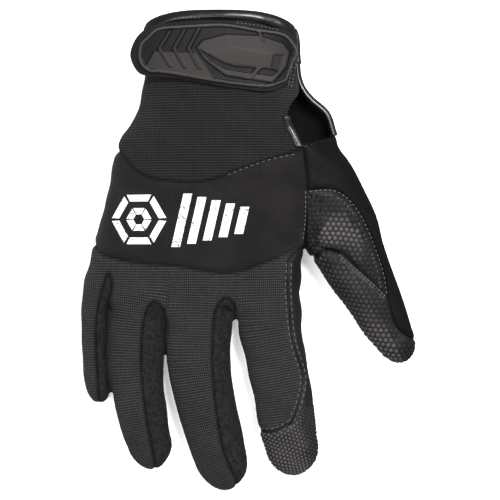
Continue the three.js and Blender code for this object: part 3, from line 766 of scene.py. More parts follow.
def cloth_uv(p, digits):
    """Each point's place on its cloth: across and along the hand, turning with each finger."""
    uv = p[:, :2].copy()
    plans = {n: TUBES[n].plan(p[:, 0], p[:, 1]) for n in digits}
    stack = np.stack([np.abs(TUBES[n].distance(plans[n], p[:, 2])) for n in digits])
    nearest = stack.argmin(0)
    for i, n in enumerate(digits):
        (half, top, mid, dip), across, _, along = plans[n]
        turn = np.arctan2(across / half, np.maximum((p[:, 2] - mid) / (top - mid), 0.02))
        x0 = TUBES[n].table[:, 0][len(TUBES[n].table) // 3]
        y0 = TUBES[n].table[0, 1]
        own = np.stack([x0 + half * turn, y0 - along], 1)
        weight = ease((-12 - p[:, 1]) / 22)[:, None] if n != "thumb" else np.ones((len(p), 1))
        here = (nearest == i)[:, None] * weight
        uv = uv * (1 - here) + own * here
    return uv


# Each kind of panel: its material, how deep it turns into its seams, its bulge beside them, and its padding
PANEL_KINDS = {
    "palm": ("grip_leather", 0.9, 0.1, 0.0),
    "back_panel": ("knit", 0.8, 0.15, 0.0),
    "knuckle_panel": ("padded_cloth", 0.9, 0.1, 1.0),
    "finger_back": ("knit", 0.6, 0.2, 0.0),
    "fourchette": ("side_knit", 0.4, 0.15, -0.05),
    "index_wrap": ("grip_leather", 0.8, 0.2, 0.1),
    "thumb_outer": ("smooth_leather", 0.5, 0.1, 0.0),
    "thumb_saddle": ("grip_leather", 0.8, 0.2, 0.0),
    "thumb_front": ("grip_leather", 0.5, 0.2, 0.0),
}


def cut_panels():
    """The skin cut along its seams, in the order of OUTLINES: {name: (vertices, triangles)}."""
    whole, _ = cut(SKIN, lambda p: cuff_level(p) - CLOTH_END)
    upper, low = cut(whole, above(SEAM_Z))
    slit, rest = cut(upper, inside_of(OUTLINES["slit"]))
    _, wrist_side = cut(slit, above(RIM_Z))
    made = {"palm": weld(low, main_part(wrist_side)[0])}
    for name in list(OUTLINES)[1:]:
        piece, rest = cut(rest, inside_of(OUTLINES[name]))
        made[name], spare = main_part(piece)
        if len(spare[1]):
            rest = weld(rest, spare)
    made["finger_back"] = main_part(rest)[0]
    return made


def sewn(p):
    """Which points of a panel's edge are sewn to a neighbour, and not bound with tape."""
    free = (cuff_level(p) < EDGE_REACH) | (line_distance(p[:, :2], slit_edge) < EDGE_REACH)
    rim = (np.abs(p[:, 2] - RIM_Z) < EDGE_REACH) & (inside_of(OUTLINES["slit"])(p) > 0.5)
    return ~(free | rim)


def make_panel(name, mesh):
    vertices, triangles = mesh
    material, depth, bulge, padding = PANEL_KINDS["fourchette" if name.startswith("fourchette") else name]
    normals = unit(gradient(vertices))
    d = edge_distance(vertices, triangles, sewn)
    high = bulge * bell(d - BULGE_AT, BULGE_WIDTH) - depth * bell(d, SEAM_ROUND)
    high += padding * ease(d / PADDING_ROUND) - folds(vertices, normals)
    x, y, z = vertices.T
    high += PUCKER * bell(d, PUCKER_REACH) * np.sin(1.9 * x + 0.4 * z) * np.sin(1.7 * y + 0.5 * z + 1)
    uv = cloth_uv(vertices, ("thumb",) if name.startswith("thumb") else FINGERS)
    made = make_wall(name + "_cloth", name, mesh, normals, high - WALL, high, material, material,
                     lowest=DOT_RISE, lined=True, uv=uv, values={"seam": d})
    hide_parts(name)


def surface_tree(*names):
    """A search tree over the outer faces of panels, in table millimetres."""
    points, triangles, start = [], [], 0
    for name in names:
        p = PANELS[name]
        points.append(p["points"])
        triangles.append(p["triangles"] + start)
        start += len(p["points"])
    return BVHTree.FromPolygons(np.vstack(points).tolist(), np.vstack(triangles).tolist())


def drop(tree, line):
    """The points and normals where a line in plan, seen from above, falls on a surface."""
    places, normals = [], []
    for x, y in line:
        hit, normal, _, _ = tree.ray_cast(Vector((x, y, 80)), Vector((0, 0, -1)))
        if hit is not None:
            places.append(hit)
            normals.append(normal)
    return np.array(places), np.array(normals)


# A plain printed pattern on the knuckle panel, in plan: rings with six sides as (x, y, outer reach, inner
# reach), and slanted bars beside them that get shorter
PRINT_RINGS = [(-52.5, 15, 14.0, 10.2), (-52.5, 15, 6.4, 2.8)]
PRINT_BARS = {
    "count": 5, "x": -36.5, "y": 1.5, "pitch": 7.7, "width": 4.3, "lean": 6.0, "height": 26, "less": 3.2,
}
PRINT_GAP = 0.06  # how far the sides of a ring stop short of each corner, as a share of the side
PRINT_RISE = 0.12


def print_shapes():
    """The print's shapes in plan, each with four corners in turn."""
    shapes = []
    corners = np.array([(math.cos(a), math.sin(a)) for a in np.radians(np.arange(0, 360, 60))])
    for x, y, outer, inner in PRINT_RINGS:
        for a, b in zip(corners, np.roll(corners, -1, axis=0)):
            a, b = a + (b - a) * PRINT_GAP, b + (a - b) * PRINT_GAP
            shapes.append(np.array([a * inner, a * outer, b * outer, b * inner]) + (x, y))
    bars = PRINT_BARS
    for i in range(bars["count"]):
        low = np.array([bars["x"] + i * bars["pitch"], bars["y"] + i * bars["less"] / 2])
        up = np.array([bars["lean"], bars["height"]]) * (1 - i * bars["less"] / bars["height"])
        across = np.array([bars["width"], 0])
        shapes.append(np.array([low, low + across, low + across + up, low + up]))
    return shapes


def make_print():
    panel = PANELS["knuckle_panel"]
    patches = []
    for shape in print_shapes():
        patch = panel["points"], panel["triangles"]
        for a, b in zip(shape, np.roll(shape, -1, axis=0)):
            u, v = (b - a) / np.linalg.norm(b - a)
            patch = cut(patch, lambda p: u * (p[:, 1] - a[1]) - v * (p[:, 0] - a[0]), lambda p: p, 0.05)[0]
        patches.append(patch)
    mesh = weld(*patches)
    normals = unit(gradient(mesh[0]))
    make_wall("knuckle_print", "print", mesh, normals, -PRINT_RISE, PRINT_RISE, "print", "print",
              uv=cloth_uv(mesh[0], FINGERS))


# Small repeated pieces, joined into one mesh each
class Pile:
    """Copies of small shapes, gathered into one mesh."""

    def __init__(self):
        self.vertices = []
        self.faces = []
        self.shades = []
        self.count = 0

    def add(self, vertices, faces, shade=1.0):
        self.vertices.append(vertices)
        self.faces += [[i + self.count for i in f] for f in faces]
        self.shades.append(np.full(len(vertices), shade))
        self.count += len(vertices)

    def build(self, name, material, slot):
        new_object(name, np.vstack(self.vertices), self.faces, material, slot,
                   values={"shade": np.concatenate(self.shades)}, sharp=60)


def frame_at(axis, normal):
    axis = axis / np.linalg.norm(axis)
    side = np.cross(normal, axis)
    side /= np.linalg.norm(side)
    return axis, side, np.cross(axis, side)


def ring_faces(rings):
    """The faces of a closed shape through rings of points, one after another."""
    corners = [(k, (k + 1) % ROUND) for k in range(ROUND)]
    faces = [[r + a, r + b, r + ROUND + b, r + ROUND + a]
             for r in range(0, (rings - 1) * ROUND, ROUND) for a, b in corners]
    first = list(range(ROUND))
    return faces + [first[::-1], [k + (rings - 1) * ROUND for k in first]]


# A stitch's rings from one end to the other: place along it, size, and lift off the cloth
STITCH_RINGS = ((-0.5, 0.45, -0.28), (-0.36, 0.9, 0.02), (0, 1.0, 0.1), (0.36, 0.9, 0.02), (0.5, 0.45, -0.28))


def add_stitch(pile, a, b, normal, radius):
    """A thread from a to b that comes up out of the cloth and goes back down."""
    length = np.linalg.norm(b - a)
    axis, side, up = frame_at(b - a, normal)
    middle = (a + b) / 2
    points = []
    for t, size, lift in STITCH_RINGS:
        for angle in 2 * math.pi * np.arange(ROUND) / ROUND:
            points.append(middle + axis * t * length + side * math.cos(angle) * radius * size
                          + up * (math.sin(angle) * radius * size + lift * radius * 2.2))
    pile.add(np.array(points), ring_faces(len(STITCH_RINGS)))


def offset_line(line, d):
    step = unit(np.gradient(line, axis=0))
    return line + np.stack([-step[:, 1], step[:, 0]], 1) * d


def sew(pile, tree, line, offset, length, gap, radius):
    """A row of stitches on a surface under a line in plan, moved sideways by offset."""
    dense = smooth_line(offset_line(np.asarray(line, float), offset), 0.4)
    places, normals = drop(tree, dense)
    if len(places) < 3:
        return
    steps = np.linalg.norm(np.diff(places, axis=0), axis=1)
    breaks = np.where(steps > 3)[0] + 1
    for run, run_normals in zip(np.split(places, breaks), np.split(normals, breaks)):
        if len(run) < 4:
            continue
        s = running(np.linalg.norm(np.diff(run, axis=0), axis=1))
        for start in np.arange(0.5, s[-1] - length, length + gap):
            ends = [np.array([np.interp(start + k, s, run[:, c]) for c in range(3)]) for k in (0, length)]
            normal = np.array([np.interp(start + length / 2, s, run_normals[:, c]) for c in range(3)])
            add_stitch(pile, ends[0], ends[1], normal / np.linalg.norm(normal), radius)


def add_dot(pile, centre, normal, along, radius=DOT_RADIUS, shade=1.0):
    axis, side, up = frame_at(along - normal * (along @ normal), normal)
    rings = ((1.0, -0.12), (0.96, DOT_RISE * 0.6), (0.72, DOT_RISE))
    points = [centre + (axis * math.cos(a) + side * math.sin(a)) * radius * r + up * h
              for r, h in rings for a in 2 * math.pi * (np.arange(ROUND) + 0.5) / ROUND]
    pile.add(np.array(points), ring_faces(len(rings)), shade)


def around_section(half, top, mid, dip):
    """An oval section as a function of the length round it from its top: (across, up)."""
    angle = np.linspace(-math.pi, math.pi, 241)
    u, z, length = oval(np.sin(angle), np.cos(angle), DIGIT_POWER, half, top, mid, dip)
    length -= length[len(angle) // 2]
    return lambda at: (np.interp(at, length, u), np.interp(at, length, z)), length[-1]


def digit_dots(pile, digit, panel, span, pitch, radius, margin, shade):
    """Dots in a honeycomb whose rows run along a digit, on one panel, at least margin from its edge."""
    tube = TUBES[digit]
    tree = surface_tree(panel)
    data = PANELS[panel]
    edge_tree = point_tree(data["points"][boundary_edges(data["triangles"])].mean(1))
    places = np.arange(len(tube.table))
    row = pitch * math.sqrt(3) / 2
    step = pitch / 2
    for j in range(int(span[0] / step), int(span[1] / step) + 1):
        s = j * step
        where = np.interp(s, tube.along, places)
        x, y, half, top, mid, dip = (np.interp(where, places, tube.table[:, c]) for c in range(6))
        i = min(int(where), len(tube.table) - 2)
        d = tube.table[i + 1, :2] - tube.table[i, :2]
        d /= np.linalg.norm(d)
        turn = max(0, s - tube.along[-1]) * 2 / (tube.tip + half)
        if turn > LAST_TURN:
            break
        place, girth = around_section(half, top, mid, dip)
        count = int(girth * math.cos(turn) / row)
        for k in range(-count, count + 1):
            if (j + k) % 2:
                continue
            u, z = place(k * row / math.cos(turn))
            u, z, ahead = u * math.cos(turn), z * math.cos(turn), tube.tip * math.sin(turn)
            ray = np.array([d[0] * ahead - d[1] * u, d[1] * ahead + d[0] * u, z])
            hit, normal, _, _ = tree.ray_cast(Vector((x, y, mid)), Vector(ray))
            if hit is None or edge_tree.find(hit)[2] < margin:
                continue
            normal = np.array(normal)
            if normal @ ray < 0:
                normal = -normal
            add_dot(pile, np.array(hit), normal, np.array([*d, 0.0]), radius, shade(np.array(hit), u / half))


def saddle_shade(p, across):
    """Painted light on the dots of the thumb's crotch: a painted highlight over its raised pad, most at its
    upper end, and painted shade on the rest.
    """
    pad = ease(inside_distance(p[None, :2], np.array(SADDLE_PAD, float))[0] / 2 + 0.6)
    return float(pad * (0.4 + 0.45 * math.exp(-(((p[1] - 9) / 7) ** 2))))


def front_shade(p, across):
    """Painted light on the thumb's dots: light on the side that faces the fingers and towards the tip, with
    painted shade in the crotch.
    """
    light = ease((0.15 - across) / 0.5) * ease((-4 - p[1] + 0.35 * (p[0] - 40)) / 8)
    # A painted highlight on the dots at the crotch's near edge
    wear_and_painted_light = 0.55 * math.exp(-(((p[0] - 37.5) / 3) ** 2) - ((p[1] + 4.5) / 4.5) ** 2)
    return float(0.08 + (0.4 + 0.27 * ease((-30 - p[1]) / 14)) * light + wear_and_painted_light)


# Painted light on the dots of the index finger's tip: light over it, with painted shade down one side
def cap_shade(p, across):
    return float(0.35 + 0.35 * ease((0.75 - across) / 0.5))


def palm_dots(pile):
    """Dots in a honeycomb over the flat of the palm, which lies on the surface below."""
    tree = surface_tree("palm")
    pitch = DOT_PITCH * PALM_DOT_SPACING
    row = pitch * math.sqrt(3) / 2
    for j in PALM_DOT_ROWS:
        for i in PALM_DOT_COLUMNS:
            x, y = (i + 0.5 * (j % 2)) * pitch, j * row
            hit, normal, _, _ = tree.ray_cast(Vector((x, y, -5)), Vector((0, 0, 1)))
            if hit is None or hit.z > PALM_DOT_TOP or abs(normal.z) < PALM_DOT_FLAT or y > PALM_DOT_END:
                continue
            down = -np.array(normal) if normal.z > 0 else np.array(normal)
            add_dot(pile, np.array(hit), down, np.array([1.0, 0, 0]), shade=0.5)


# Tapes folded over the free edges
def band(mesh, level, width, rings=(0.25, 0.7, 1.3)):
    """The strip of a surface from an edge where level is 0 to width, with extra rows near the edge."""
    strip, _ = cut(mesh, level)
    _, strip = cut(strip, lambda p: level(p) - width)
    for r in (*rings, width - 0.4):
        strip = weld(*cut(strip, lambda p: level(p) - r, snap=0.1))
    return strip


def make_tape(name, strip, level, width, stand=TAPE):
    """A tape over a strip's edge where level is 0, which stands off the strip by stand on its outer side."""
    d = np.clip(level(strip[0]), 0, None)
    half = WALL / 2 + stand
    fold = np.sqrt(np.clip(1 - (1 - np.clip(d / (width * TAPE_ROLL), 0, 1)) ** 2, 0, 1))
    x, y, z = strip[0].T
    ripple = 0.04 * np.sin(0.5 * x + 0.3 * y + 0.3 * z) * np.sin(0.3 * x - 0.4 * y)
    end = ease((width - d) / 1.2)
    high = -WALL / 2 + half * fold - (1 - end) * TAPE_TUCK + ripple * fold
    low = -WALL / 2 - (WALL / 2 + TAPE) * fold + (1 - end) * 0.6
    return make_wall(name, name, strip, unit(gradient(strip[0])), low, high, "tape", "binding",
                     uv=np.stack([x + z, y], 1), sharp=180)


def make_tapes():
    slit = inside_of(OUTLINES["slit"])
    in_slit, outside = cut(SKIN, slit)
    cuffed = weld(outside, cut(in_slit, above(RIM_Z))[1])
    made = make_tape("cuff_tape", band(cuffed, cuff_level, TAPE_WIDTH), cuff_level, TAPE_WIDTH, FULL_TAPE)
    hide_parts("cuff_binding")

    inside_cuff = cut(SKIN, lambda p: cuff_level(p) - TAPE_WIDTH + 0.5)[0]
    region = cut(inside_cuff, lambda p: slit(p) + 0.2)[0]
    region = cut(region, above(SLIT_TAPE_LOW))[0]

    def rim(p):
        return RIM_Z + 1.2 - p[:, 2]

    made = make_tape("slit_tape", main_part(band(region, rim, TAPE_WIDTH))[0], rim, TAPE_WIDTH)
    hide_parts("slit_binding")

    start, end = BACK_TAPE_SPAN
    beside = cut(cut(inside_cuff, above(SEAM_Z))[0], lambda p: p[:, 1] - start)[0]
    beside = cut(cut(beside, lambda p: BACK_TAPE_SIDE - p[:, 0])[0], lambda p: end - p[:, 1])[0]

    def edge(p):
        return EDGE_REACH - slit(p)

    strip = main_part(band(beside, edge, TAPE_WIDTH - 1))[0]
    make_tape("back_edge_tape", strip, edge, TAPE_WIDTH - 1, FULL_TAPE * ease((end - strip[0][:, 1]) / 7))


# The strap and the tab moulded onto it
STRAP_CELL = 0.8  # edge length of the strap's faces
TAB_CELL = 0.36
STRAP_SPAN = (76, 117)  # from y to y, round the strap's outline
STRAP_GIRTH = 125  # about how far it is over the hand from side to side
STRAP = Tube(body_rows(STRAP_FORM), 1.0, BODY_POWER, straight=True)


def strap_distance(p):
    return STRAP.distance(STRAP.plan(p[:, 0], p[:, 1]), p[:, 2])


def strap_normals(p):
    return unit(slope(strap_distance, p, 0.05))


def onto_strap(p):
    return p - strap_distance(p)[:, None] * strap_normals(p)


def strap_skin(step):
    """The surface that the strap is bent over, as an even net from one side over the top to the other."""
    ys = np.arange(*STRAP_SPAN, step)
    table = STRAP.table[::-1]
    angle = np.linspace(-0.5, math.pi + 0.5, 800)
    count = int(STRAP_GIRTH / step)
    rows = []
    for y in ys:
        cx, half, top, mid, dip = (np.interp(y, table[:, 1], table[:, k]) for k in (0, 2, 3, 4, 5))
        u, z, length = oval(np.cos(angle), np.sin(angle), BODY_POWER, half, top, mid, dip)
        at = np.linspace(0, length[-1], count)
        x, z = np.interp(at, length, cx + u), np.interp(at, length, mid + z)
        rows.append(np.stack([x, np.full(count, y), z], 1))
    vertices = np.vstack(rows)
    i, j = np.meshgrid(np.arange(len(ys) - 1), np.arange(count - 1), indexing="ij")
    a = (i * count + j).ravel()
    return vertices, halved(np.stack([a, a + count, a + count + 1, a + 1], 1))


def make_strap():
    outline = smooth_line(STRAP_OUTLINE, closed=True)
    mesh = cut(strap_skin(STRAP_CELL), inside_of(outline), onto_strap)[0]
    mesh = cut(mesh, above(STRAP_LOW_Z), onto_strap)[0]
    vertices, triangles = mesh = main_part(mesh)[0]
    d = edge_distance(vertices, triangles)
    high = STRAP_THICKNESS - 0.5 * bell(d, 0.7) - 0.3 * bell(d - 2, 0.5)
    normals = strap_normals(vertices)
    made = make_wall("strap_cloth_layer", "strap", mesh, normals, 0, high, "strap", "strap_cloth",
                     uv=vertices[:, :2])
    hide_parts("wrist_strap")


def chevron(i):
    c = CHEVRONS
    left, y, w = c["x"] + i * c["pitch"], c["y"], c["width"]
    far, arm = left + c["lean"], c["reach"] + c["tilt"] * (i + 1)
    return [(left, y), (far, y + arm), (far + w, y + arm), (left + w, y), (far + w, y - arm), (far, y - arm)]


def tab_relief(p, inside):
    """How far the tab's face rises at each place in plan, and its painted light, both from 0 to 1."""
    height = np.zeros(len(p))
    # Painted light, given as each shape's last number: painted shade in the sunk field and the plate's
    # groove, lighter on raised faces
    relief_painted_light = np.full(len(p), 0.04)
    shapes = [(LOWER_FIELD, 0.5, 0.5, 0.68)]
    shapes += [(chevron(i), 0.95, 0.35, 0.5) for i in range(CHEVRONS["count"])]
    shapes += [(PLATE, 0.8, 0.7, 0.72), (PLATE_GROOVE, 0.05, 0.3, 0.08)]
    shapes += [(ARROW, 0.95, 0.3, 0.7), (ARROW_END, 0.35, 0.25, 0.45)]
    shapes += [(bar, 1.0, 0.3, 0.6) for bar in PLATE_BARS]
    for outline, level, bevel, light in shapes:
        d = inside_distance(p, np.array(outline, float))
        w = ease(d / (2 * bevel) + 0.5)
        height = height * (1 - w) + level * w
        w = ease(d / 0.4 + 0.5)
        relief_painted_light = relief_painted_light * (1 - w) + light * w
    # A painted highlight along the raised border
    rim = 1 - ease((inside - TAB_BORDER + 0.4) / 0.8)
    return np.maximum(height, rim), relief_painted_light * (1 - rim) + 0.92 * rim


def make_tab():
    outline = smooth_line(TAB_OUTLINE, 1.0, closed=True)
    skin_part = cut(strap_skin(TAB_CELL), inside_of(outline), onto_strap, TAB_CELL / 3)[0]
    mesh = main_part(skin_part)[0]
    vertices = mesh[0]
    inside = inside_of(outline)(vertices)
    relief, relief_painted_light = tab_relief(vertices[:, :2], inside)
    low = STRAP_THICKNESS + TAB_GAP
    high = low + TAB_BASE + TAB_RELIEF * relief - 0.7 * (1 - ease(inside / 0.9))
    normals = strap_normals(vertices)
    # The tab's painted light and shade go with it as an attribute
    made = make_wall("tab_moulding", "tab", mesh, normals, low, high, "rubber", "moulded_rubber",
                     values={"relief_painted_light": relief_painted_light}, sharp=40)
    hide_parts("strap_tab")


# Materials
class Look:
    """A node material, built up by small steps."""

    def __init__(self, name, roughness, sheen=0.0, specular=0.5):
        self.material = bpy.data.materials.new(name)
        self.material.use_nodes = True
        self.nodes = self.material.node_tree.nodes
        self.links = self.material.node_tree.links
        self.shader = self.nodes["Principled BSDF"]
        for key, value in (("Roughness", roughness), ("Sheen Weight", sheen), ("Sheen Roughness", 0.5),
                           ("Specular IOR Level", specular)):
            self.shader.inputs[key].default_value = value
        self.bumps = None
        MATERIALS[name] = self.material

    def node(self, kind, values=None, **settings):
        made = self.nodes.new(kind)
        for key, value in settings.items():
            setattr(made, key, value)
        for key, value in (values or {}).items():
            socket = made.inputs[key]
            if isinstance(value, bpy.types.NodeSocket):
                self.links.new(value, socket)
            else:
                socket.default_value = value
        return made

    def math(self, operation, a, b=0.0, c=0.0):
        return self.node("ShaderNodeMath", {0: a, 1: b, 2: c}, operation=operation).outputs[0]

    def mix(self, a, share_a, b, share_b):
        """Two values, each times its share, added up."""
        return self.math("MULTIPLY_ADD", a, share_a, self.math("MULTIPLY", b, share_b))

    def place(self):
        return self.node("ShaderNodeTexCoord").outputs["Object"]

    def cloth(self):
        """The cloth's own place, across and along, in metres."""
        uv = self.node("ShaderNodeUVMap", uv_map="cloth").outputs[0]
        return self.node("ShaderNodeSeparateXYZ", {0: uv}).outputs[:2]

    def noise(self, scale, detail=3.0, rough=0.55):
        return self.node("ShaderNodeTexNoise", {
            "Vector": self.place(), "Scale": scale, "Detail": detail, "Roughness": rough}).outputs["Fac"]

    def cells(self, scale):
        return self.node("ShaderNodeTexVoronoi", {"Vector": self.place(), "Scale": scale}).outputs["Distance"]

    def wave(self, value, pitch):
        """0 to 1 and back once every pitch metres of a value."""
        turned = self.math("MULTIPLY", value, 2 * math.pi / pitch)
        return self.math("MULTIPLY_ADD", self.math("SINE", turned), 0.5, 0.5)

    def colour(self, value, *stops, shade=None):
        """The look's colour: a ramp through stops over a value, times a shade."""
        made = self.node("ShaderNodeValToRGB", {0: value})
        points = made.color_ramp.elements
        while len(points) < len(stops):
            points.new(0.5)
        for point, (at, colour) in zip(points, stops):
            point.position = at
            point.color = (*colour, 1)
        out = made.outputs["Color"]
        if shade:
            out = self.node("ShaderNodeVectorMath", {0: out, "Scale": shade}, operation="SCALE").outputs[0]
        self.links.new(out, self.shader.inputs["Base Color"])

    def bump(self, height, distance, strength=1.0):
        values = {"Height": height, "Distance": distance, "Strength": strength}
        if self.bumps:
            values["Normal"] = self.bumps
        self.bumps = self.node("ShaderNodeBump", values).outputs["Normal"]
        self.links.new(self.bumps, self.shader.inputs["Normal"])

    def grain(self, scale, detail, distance, strength):
        self.bump(self.noise(scale, detail), distance, strength)

    def attribute(self, name):
        return self.node("ShaderNodeAttribute", attribute_name=name).outputs["Fac"]

    def between(self, value, low, high, at_low, at_high):
        values = {"Value": value, "From Min": low, "From Max": high, "To Min": at_low, "To Max": at_high}
        return self.node("ShaderNodeMapRange", values).outputs[0]

    def seam_shade(self, reach=1.6, dark=0.35):
        """Dark in the seams round a panel, and 1 a little way in."""
        return self.between(self.attribute("seam"), 0.2, reach, dark, 1.0)

    def roughness(self, value, low, high):
        self.links.new(self.between(value, 0, 1, low, high), self.shader.inputs["Roughness"])


def tint(look, a, b, scale=60, shade=None):
    """Colour that wanders softly between two values."""
    look.colour(look.noise(scale, 4), (0.3, a), (0.7, b), shade=shade)


# Threads: name, roughness, sheen, specular, and the two colours between which it wanders
THREADS = [
    ("thread", 0.6, 0.2, 0.4, (0.045, 0.043, 0.044), (0.08, 0.077, 0.079)),
    ("dark_thread", 0.7, 0.0, 0.1, (0.01, 0.0097, 0.01), (0.018, 0.0175, 0.018)),
]
# Leathers: name, specular, two colours and their noise, its cells, its grain, and its roughness from and to
LEATHERS = [
    ("grip_leather", 0.13, (0.0065, 0.006, 0.006), (0.011, 0.0098, 0.0095), 45,
     (1500, 0.00012, 0.6), (420, 4, 0.00025, 0.5), (90, 0.42, 0.62)),
    ("smooth_leather", 0.03, (0.0034, 0.0036, 0.0039), (0.0055, 0.0058, 0.0062), 40,
     (1900, 0.00006, 0.4), (260, 4, 0.0003, 0.4), (70, 0.44, 0.6)),
]


def make_materials():
    for name, specular, dark, light, scale, cells, grain, wander in LEATHERS:
        look = Look(name, 0.5, specular=specular)
        tint(look, dark, light, scale, look.seam_shade())
        look.bump(look.cells(cells[0]), *cells[1:])
        look.grain(*grain)
        look.roughness(look.noise(wander[0]), *wander[1:])

    look = Look("knit", 0.85, sheen=0.03, specular=0.1)
    across, along = look.cloth()
    wobble = look.math("MULTIPLY_ADD", look.noise(150, 2), 0.0004, -0.0002)
    warp = look.math("POWER", look.wave(look.math("ADD", across, wobble), 0.001), 3.0)
    weft = look.math("POWER", look.wave(look.math("ADD", along, wobble), 0.0013), 2.5)
    y = look.node("ShaderNodeSeparateXYZ", {0: look.place()}).outputs[1]
    tips = look.between(y, -0.095, -0.065, 0.55, 1.0)
    height = look.math("MAXIMUM", look.math("MULTIPLY", warp, 0.8), look.math("MULTIPLY", weft, tips))
    look.bump(height, 0.0006, 1.0)
    look.grain(2500, 2, 0.0001, 0.5)
    patch = look.mix(look.noise(420, 3, 0.6), 0.6, look.noise(45, 4), 0.4)
    shade = look.mix(height, 0.6, patch, 0.4)
    onto_back = look.between(y, -0.005, 0.03, 1.15, 0.58)
    look.colour(shade, (0.2, (0.002, 0.0019, 0.002)), (0.72, (0.036, 0.034, 0.0345)),
                shade=look.math("MULTIPLY", onto_back, look.seam_shade()))

    look = Look("side_knit", 0.8, sheen=0.015, specular=0.06)
    ribs = look.wave(look.cloth()[0], 0.0007)
    mottle = look.mix(ribs, 0.3, look.noise(500, 3, 0.7), 0.7)
    look.colour(mottle, (0.35, (0.0025, 0.0024, 0.0026)), (0.68, (0.019, 0.0182, 0.0188)),
                shade=look.seam_shade())
    look.bump(ribs, 0.00012, 0.5)
    look.grain(700, 2, 0.0001, 0.5)

    look = Look("padded_cloth", 0.8, sheen=0.04, specular=0.1)
    across, along = look.cloth()
    weave = look.math("MULTIPLY", look.wave(along, 0.0009), look.wave(across, 0.0006))
    shade = look.mix(weave, 0.5, look.noise(50, 4), 0.6)
    look.colour(shade, (0.25, (0.0035, 0.003, 0.003)), (0.7, (0.016, 0.0137, 0.014)),
                shade=look.seam_shade(1.2, 0.5))
    look.bump(weave, 0.0003, 0.8)
    look.grain(300, 3, 0.0002, 0.3)

    look = Look("print", 0.6, specular=0.2)
    wear_and_painted_light = look.mix(look.noise(900, 5, 0.7), 0.75, look.noise(110, 3), 0.25)
    look.colour(wear_and_painted_light, (0.4, (0.1, 0.1, 0.105)), (0.47, (0.66, 0.67, 0.69)))
    look.grain(900, 3, 0.0001, 0.4)

    look = Look("tape", 0.24, specular=0.32)
    tint(look, (0.004, 0.004, 0.0044), (0.007, 0.007, 0.0075), 80)
    look.grain(300, 2, 0.00006, 0.4)
    look.roughness(look.noise(110), 0.14, 0.42)

    look = Look("strap", 0.75, sheen=0.03, specular=0.12)
    across, along = look.cloth()
    weave = look.math("MULTIPLY", look.wave(across, 0.0007), look.wave(along, 0.0007))
    look.bump(weave, 0.00015, 0.7)
    tint(look, (0.005, 0.005, 0.0054), (0.009, 0.0088, 0.0094), 70)

    look = Look("rubber", 0.5, specular=0.12)
    # Random tone, with the tab's painted shade in its recesses and painted highlight on its raised faces
    wear_and_painted_light = look.math("MULTIPLY_ADD", look.noise(60, 3), 0.2, look.attribute("relief_painted_light"))
    look.colour(wear_and_painted_light, (0.12, (0.0025, 0.0024, 0.0025)), (0.55, (0.0105, 0.0095, 0.0092)),
                (0.85, (0.021, 0.0185, 0.0175)), (1.0, (0.045, 0.041, 0.039)))
    look.grain(2200, 2, 0.00005, 0.6)
    look.roughness(look.noise(150), 0.45, 0.6)

    look = Look("dot_rubber", 0.5, specular=0.15)
    # Random tone, with the painted light and shade that the dots carry in their shade attribute
    wear_and_painted_light = look.mix(look.noise(120, 3), 0.3, look.attribute("shade"), 0.85)
    look.colour(wear_and_painted_light, (0.1, (0.0045, 0.0043, 0.0045)), (0.5, (0.018, 0.0165, 0.0165)),
                (1.0, (0.075, 0.069, 0.068)))
    look.grain(2500, 2, 0.00004, 0.5)

    for name, roughness, sheen, specular, dark, light in THREADS:
        look = Look(name, roughness, sheen, specular)
        tint(look, dark, light, 300)
        look.grain(3500, 2, 0.00006, 0.6)

    look = Look("lining", 0.9, specular=0.1)
    tint(look, (0.0022, 0.0022, 0.0024), (0.004, 0.004, 0.0042), 90)
    look.grain(900, 3, 0.0002, 0.6)

    look = Look("floor", 0.8, specular=0.2)
    look.colour(look.noise(3), (0.4, (0.93,) * 3), (0.6, (0.94,) * 3))
    # The floor glows a little, a painted light that lifts the shadows cast on it
    look.shader.inputs["Emission Color"].default_value = (1, 1, 1, 1)
    look.shader.inputs["Emission Strength"].default_value = 0.35


# Rows of stitches: line in plan, offsets to its left, panels that it lies on, thread, length, gap, radius
STITCHES = [
    (SADDLE_ARC, (-0.5,), ("thumb_outer", "thumb_saddle"), "thread", 1.6, 0.8, 0.24),
    (SADDLE_ARC, (-3.2,), ("thumb_saddle",), "thread", 1.2, 0.9, 0.24),
    (THUMB_SIDE[:5], (-1.2,), ("thumb_front",), "dark_thread", 1.4, 1.4, 0.24),
    (THUMB_CROSS[2:], (-0.7, -1.9), ("thumb_front",), "thread", 1.4, 0.5, 0.28),
    (KNUCKLE_BOTTOM[2:], (-1.6,), ("finger_back",), "dark_thread", 2.0, 1.1, 0.22),
    ([(-10, 38), (0, 42), (12, 46), (26, 49)], (-1.6,), ("knuckle_panel",), "thread", 1.8, 1.2, 0.2),
    (SIDE_STITCHES, (0,), ("knuckle_panel", "thumb_saddle"), "thread", 1.7, 0.7, 0.26),
    (INDEX_SEAM[1:7], (-1.3, 1.3), ("index_wrap", "finger_back"), "thread", 2.0, 1.2, 0.22),
    (INDEX_SEAM[6:], (-1.3, 1.4), ("index_wrap", "finger_back"), "thread", 1.8, 1.1, 0.22),
    (SLIT_HEM, (-1.6,), ("thumb_outer",), "dark_thread", 1.9, 1.1, 0.2),
    (KNUCKLE_TOP[1:], (1.6,), ("back_panel",), "dark_thread", 1.9, 1.1, 0.2),
    (CUFF_STITCHES[0], (0,), ("cuff_tape",), "thread", 1.1, 0.9, 0.22),
    (CUFF_STITCHES[1], (0,), ("cuff_tape", "back_panel", "strap"), "thread", 1.1, 0.9, 0.22),
    (TAB_STITCHES, (0.3, 1.9), ("strap", "back_panel"), "thread", 1.1, 0.8, 0.2),
]


def make_stitches():
    piles = {"thread": Pile(), "dark_thread": Pile()}
    for line, offsets, panels, thread, length, gap, radius in STITCHES:
        tree = surface_tree(*panels)
        for offset in offsets:
            sew(piles[thread], tree, line, offset, length, gap, radius)
    for name, pile in piles.items():
        pile.build("stitches_" + name, name, "thread")


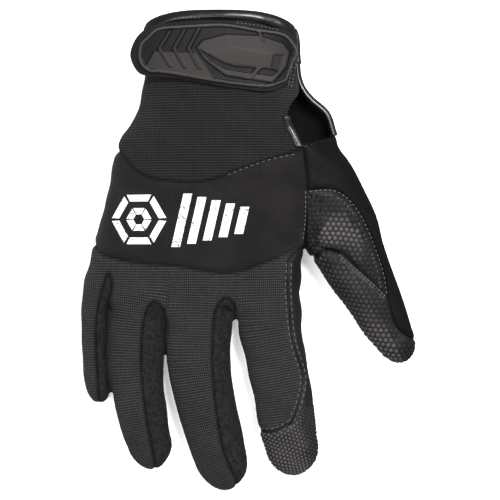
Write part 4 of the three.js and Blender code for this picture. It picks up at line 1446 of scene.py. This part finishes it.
def make_dots():
    pile = Pile()
    digit_dots(pile, "thumb", "thumb_saddle", (0, 90), DOT_PITCH, DOT_RADIUS, 1.6, saddle_shade)
    digit_dots(pile, "thumb", "thumb_front", (20, 140), DOT_PITCH, DOT_RADIUS, 1.3, front_shade)
    digit_dots(pile, "index", "index_wrap", (86, 130), CAP_DOT_PITCH, CAP_DOT_RADIUS, 1.5, cap_shade)
    pile.build("grip_dots", "dot_rubber", "moulded_rubber")
    pile = Pile()
    palm_dots(pile)
    pile.vertices = [np.maximum(v, (-np.inf, -np.inf, 0)) for v in pile.vertices]
    pile.build("palm_dots", "dot_rubber", "moulded_rubber")


# The scene
def floor():
    bpy.ops.mesh.primitive_plane_add(size=3, location=(0, 0, 0))
    made = bpy.context.object
    made.name = "floor"
    made.data.materials.append(MATERIALS["floor"])
    made.visible_glossy = False


def camera():
    cam = bpy.data.cameras.new("camera")
    cam.sensor_width = 36
    cam.lens = cam.sensor_width * VIEW_HEIGHT / VIEW_WIDTH
    made = bpy.data.objects.new("camera", cam)
    made.location = (*(VIEW_CENTRE - MIDDLE[:2]) * MM, VIEW_LEVEL + VIEW_HEIGHT)
    bpy.context.collection.objects.link(made)
    bpy.context.scene.camera = made


def area_light(name, where, size, power, toward=(0, 0, 0)):
    light = bpy.data.lights.new(name, "AREA")
    light.energy = power
    light.size = size
    made = bpy.data.objects.new(name, light)
    made.location = where
    made.rotation_euler = (Vector(toward) - Vector(where)).to_track_quat("-Z", "Y").to_euler()
    bpy.context.collection.objects.link(made)


def world():
    made = bpy.data.worlds.new("world")
    made.use_nodes = True
    background = made.node_tree.nodes["Background"]
    background.inputs["Color"].default_value = (1, 1, 1, 1)
    background.inputs["Strength"].default_value = 0.3
    bpy.context.scene.world = made
    bpy.context.scene.view_settings.view_transform = "Standard"


camera()
make_materials()
SKIN = skin()
for name, mesh in cut_panels().items():
    make_panel(name, mesh)
make_print()
make_tapes()
make_strap()
make_tab()
make_stitches()
make_dots()
floor()
area_light("key", (0.35, 0.5, 1.25), 0.4, 30)
area_light("fill", (-0.5, -0.3, 1.2), 0.9, 14)
area_light("rim", (0.7, 0.5, 0.6), 0.12, 2)
world()
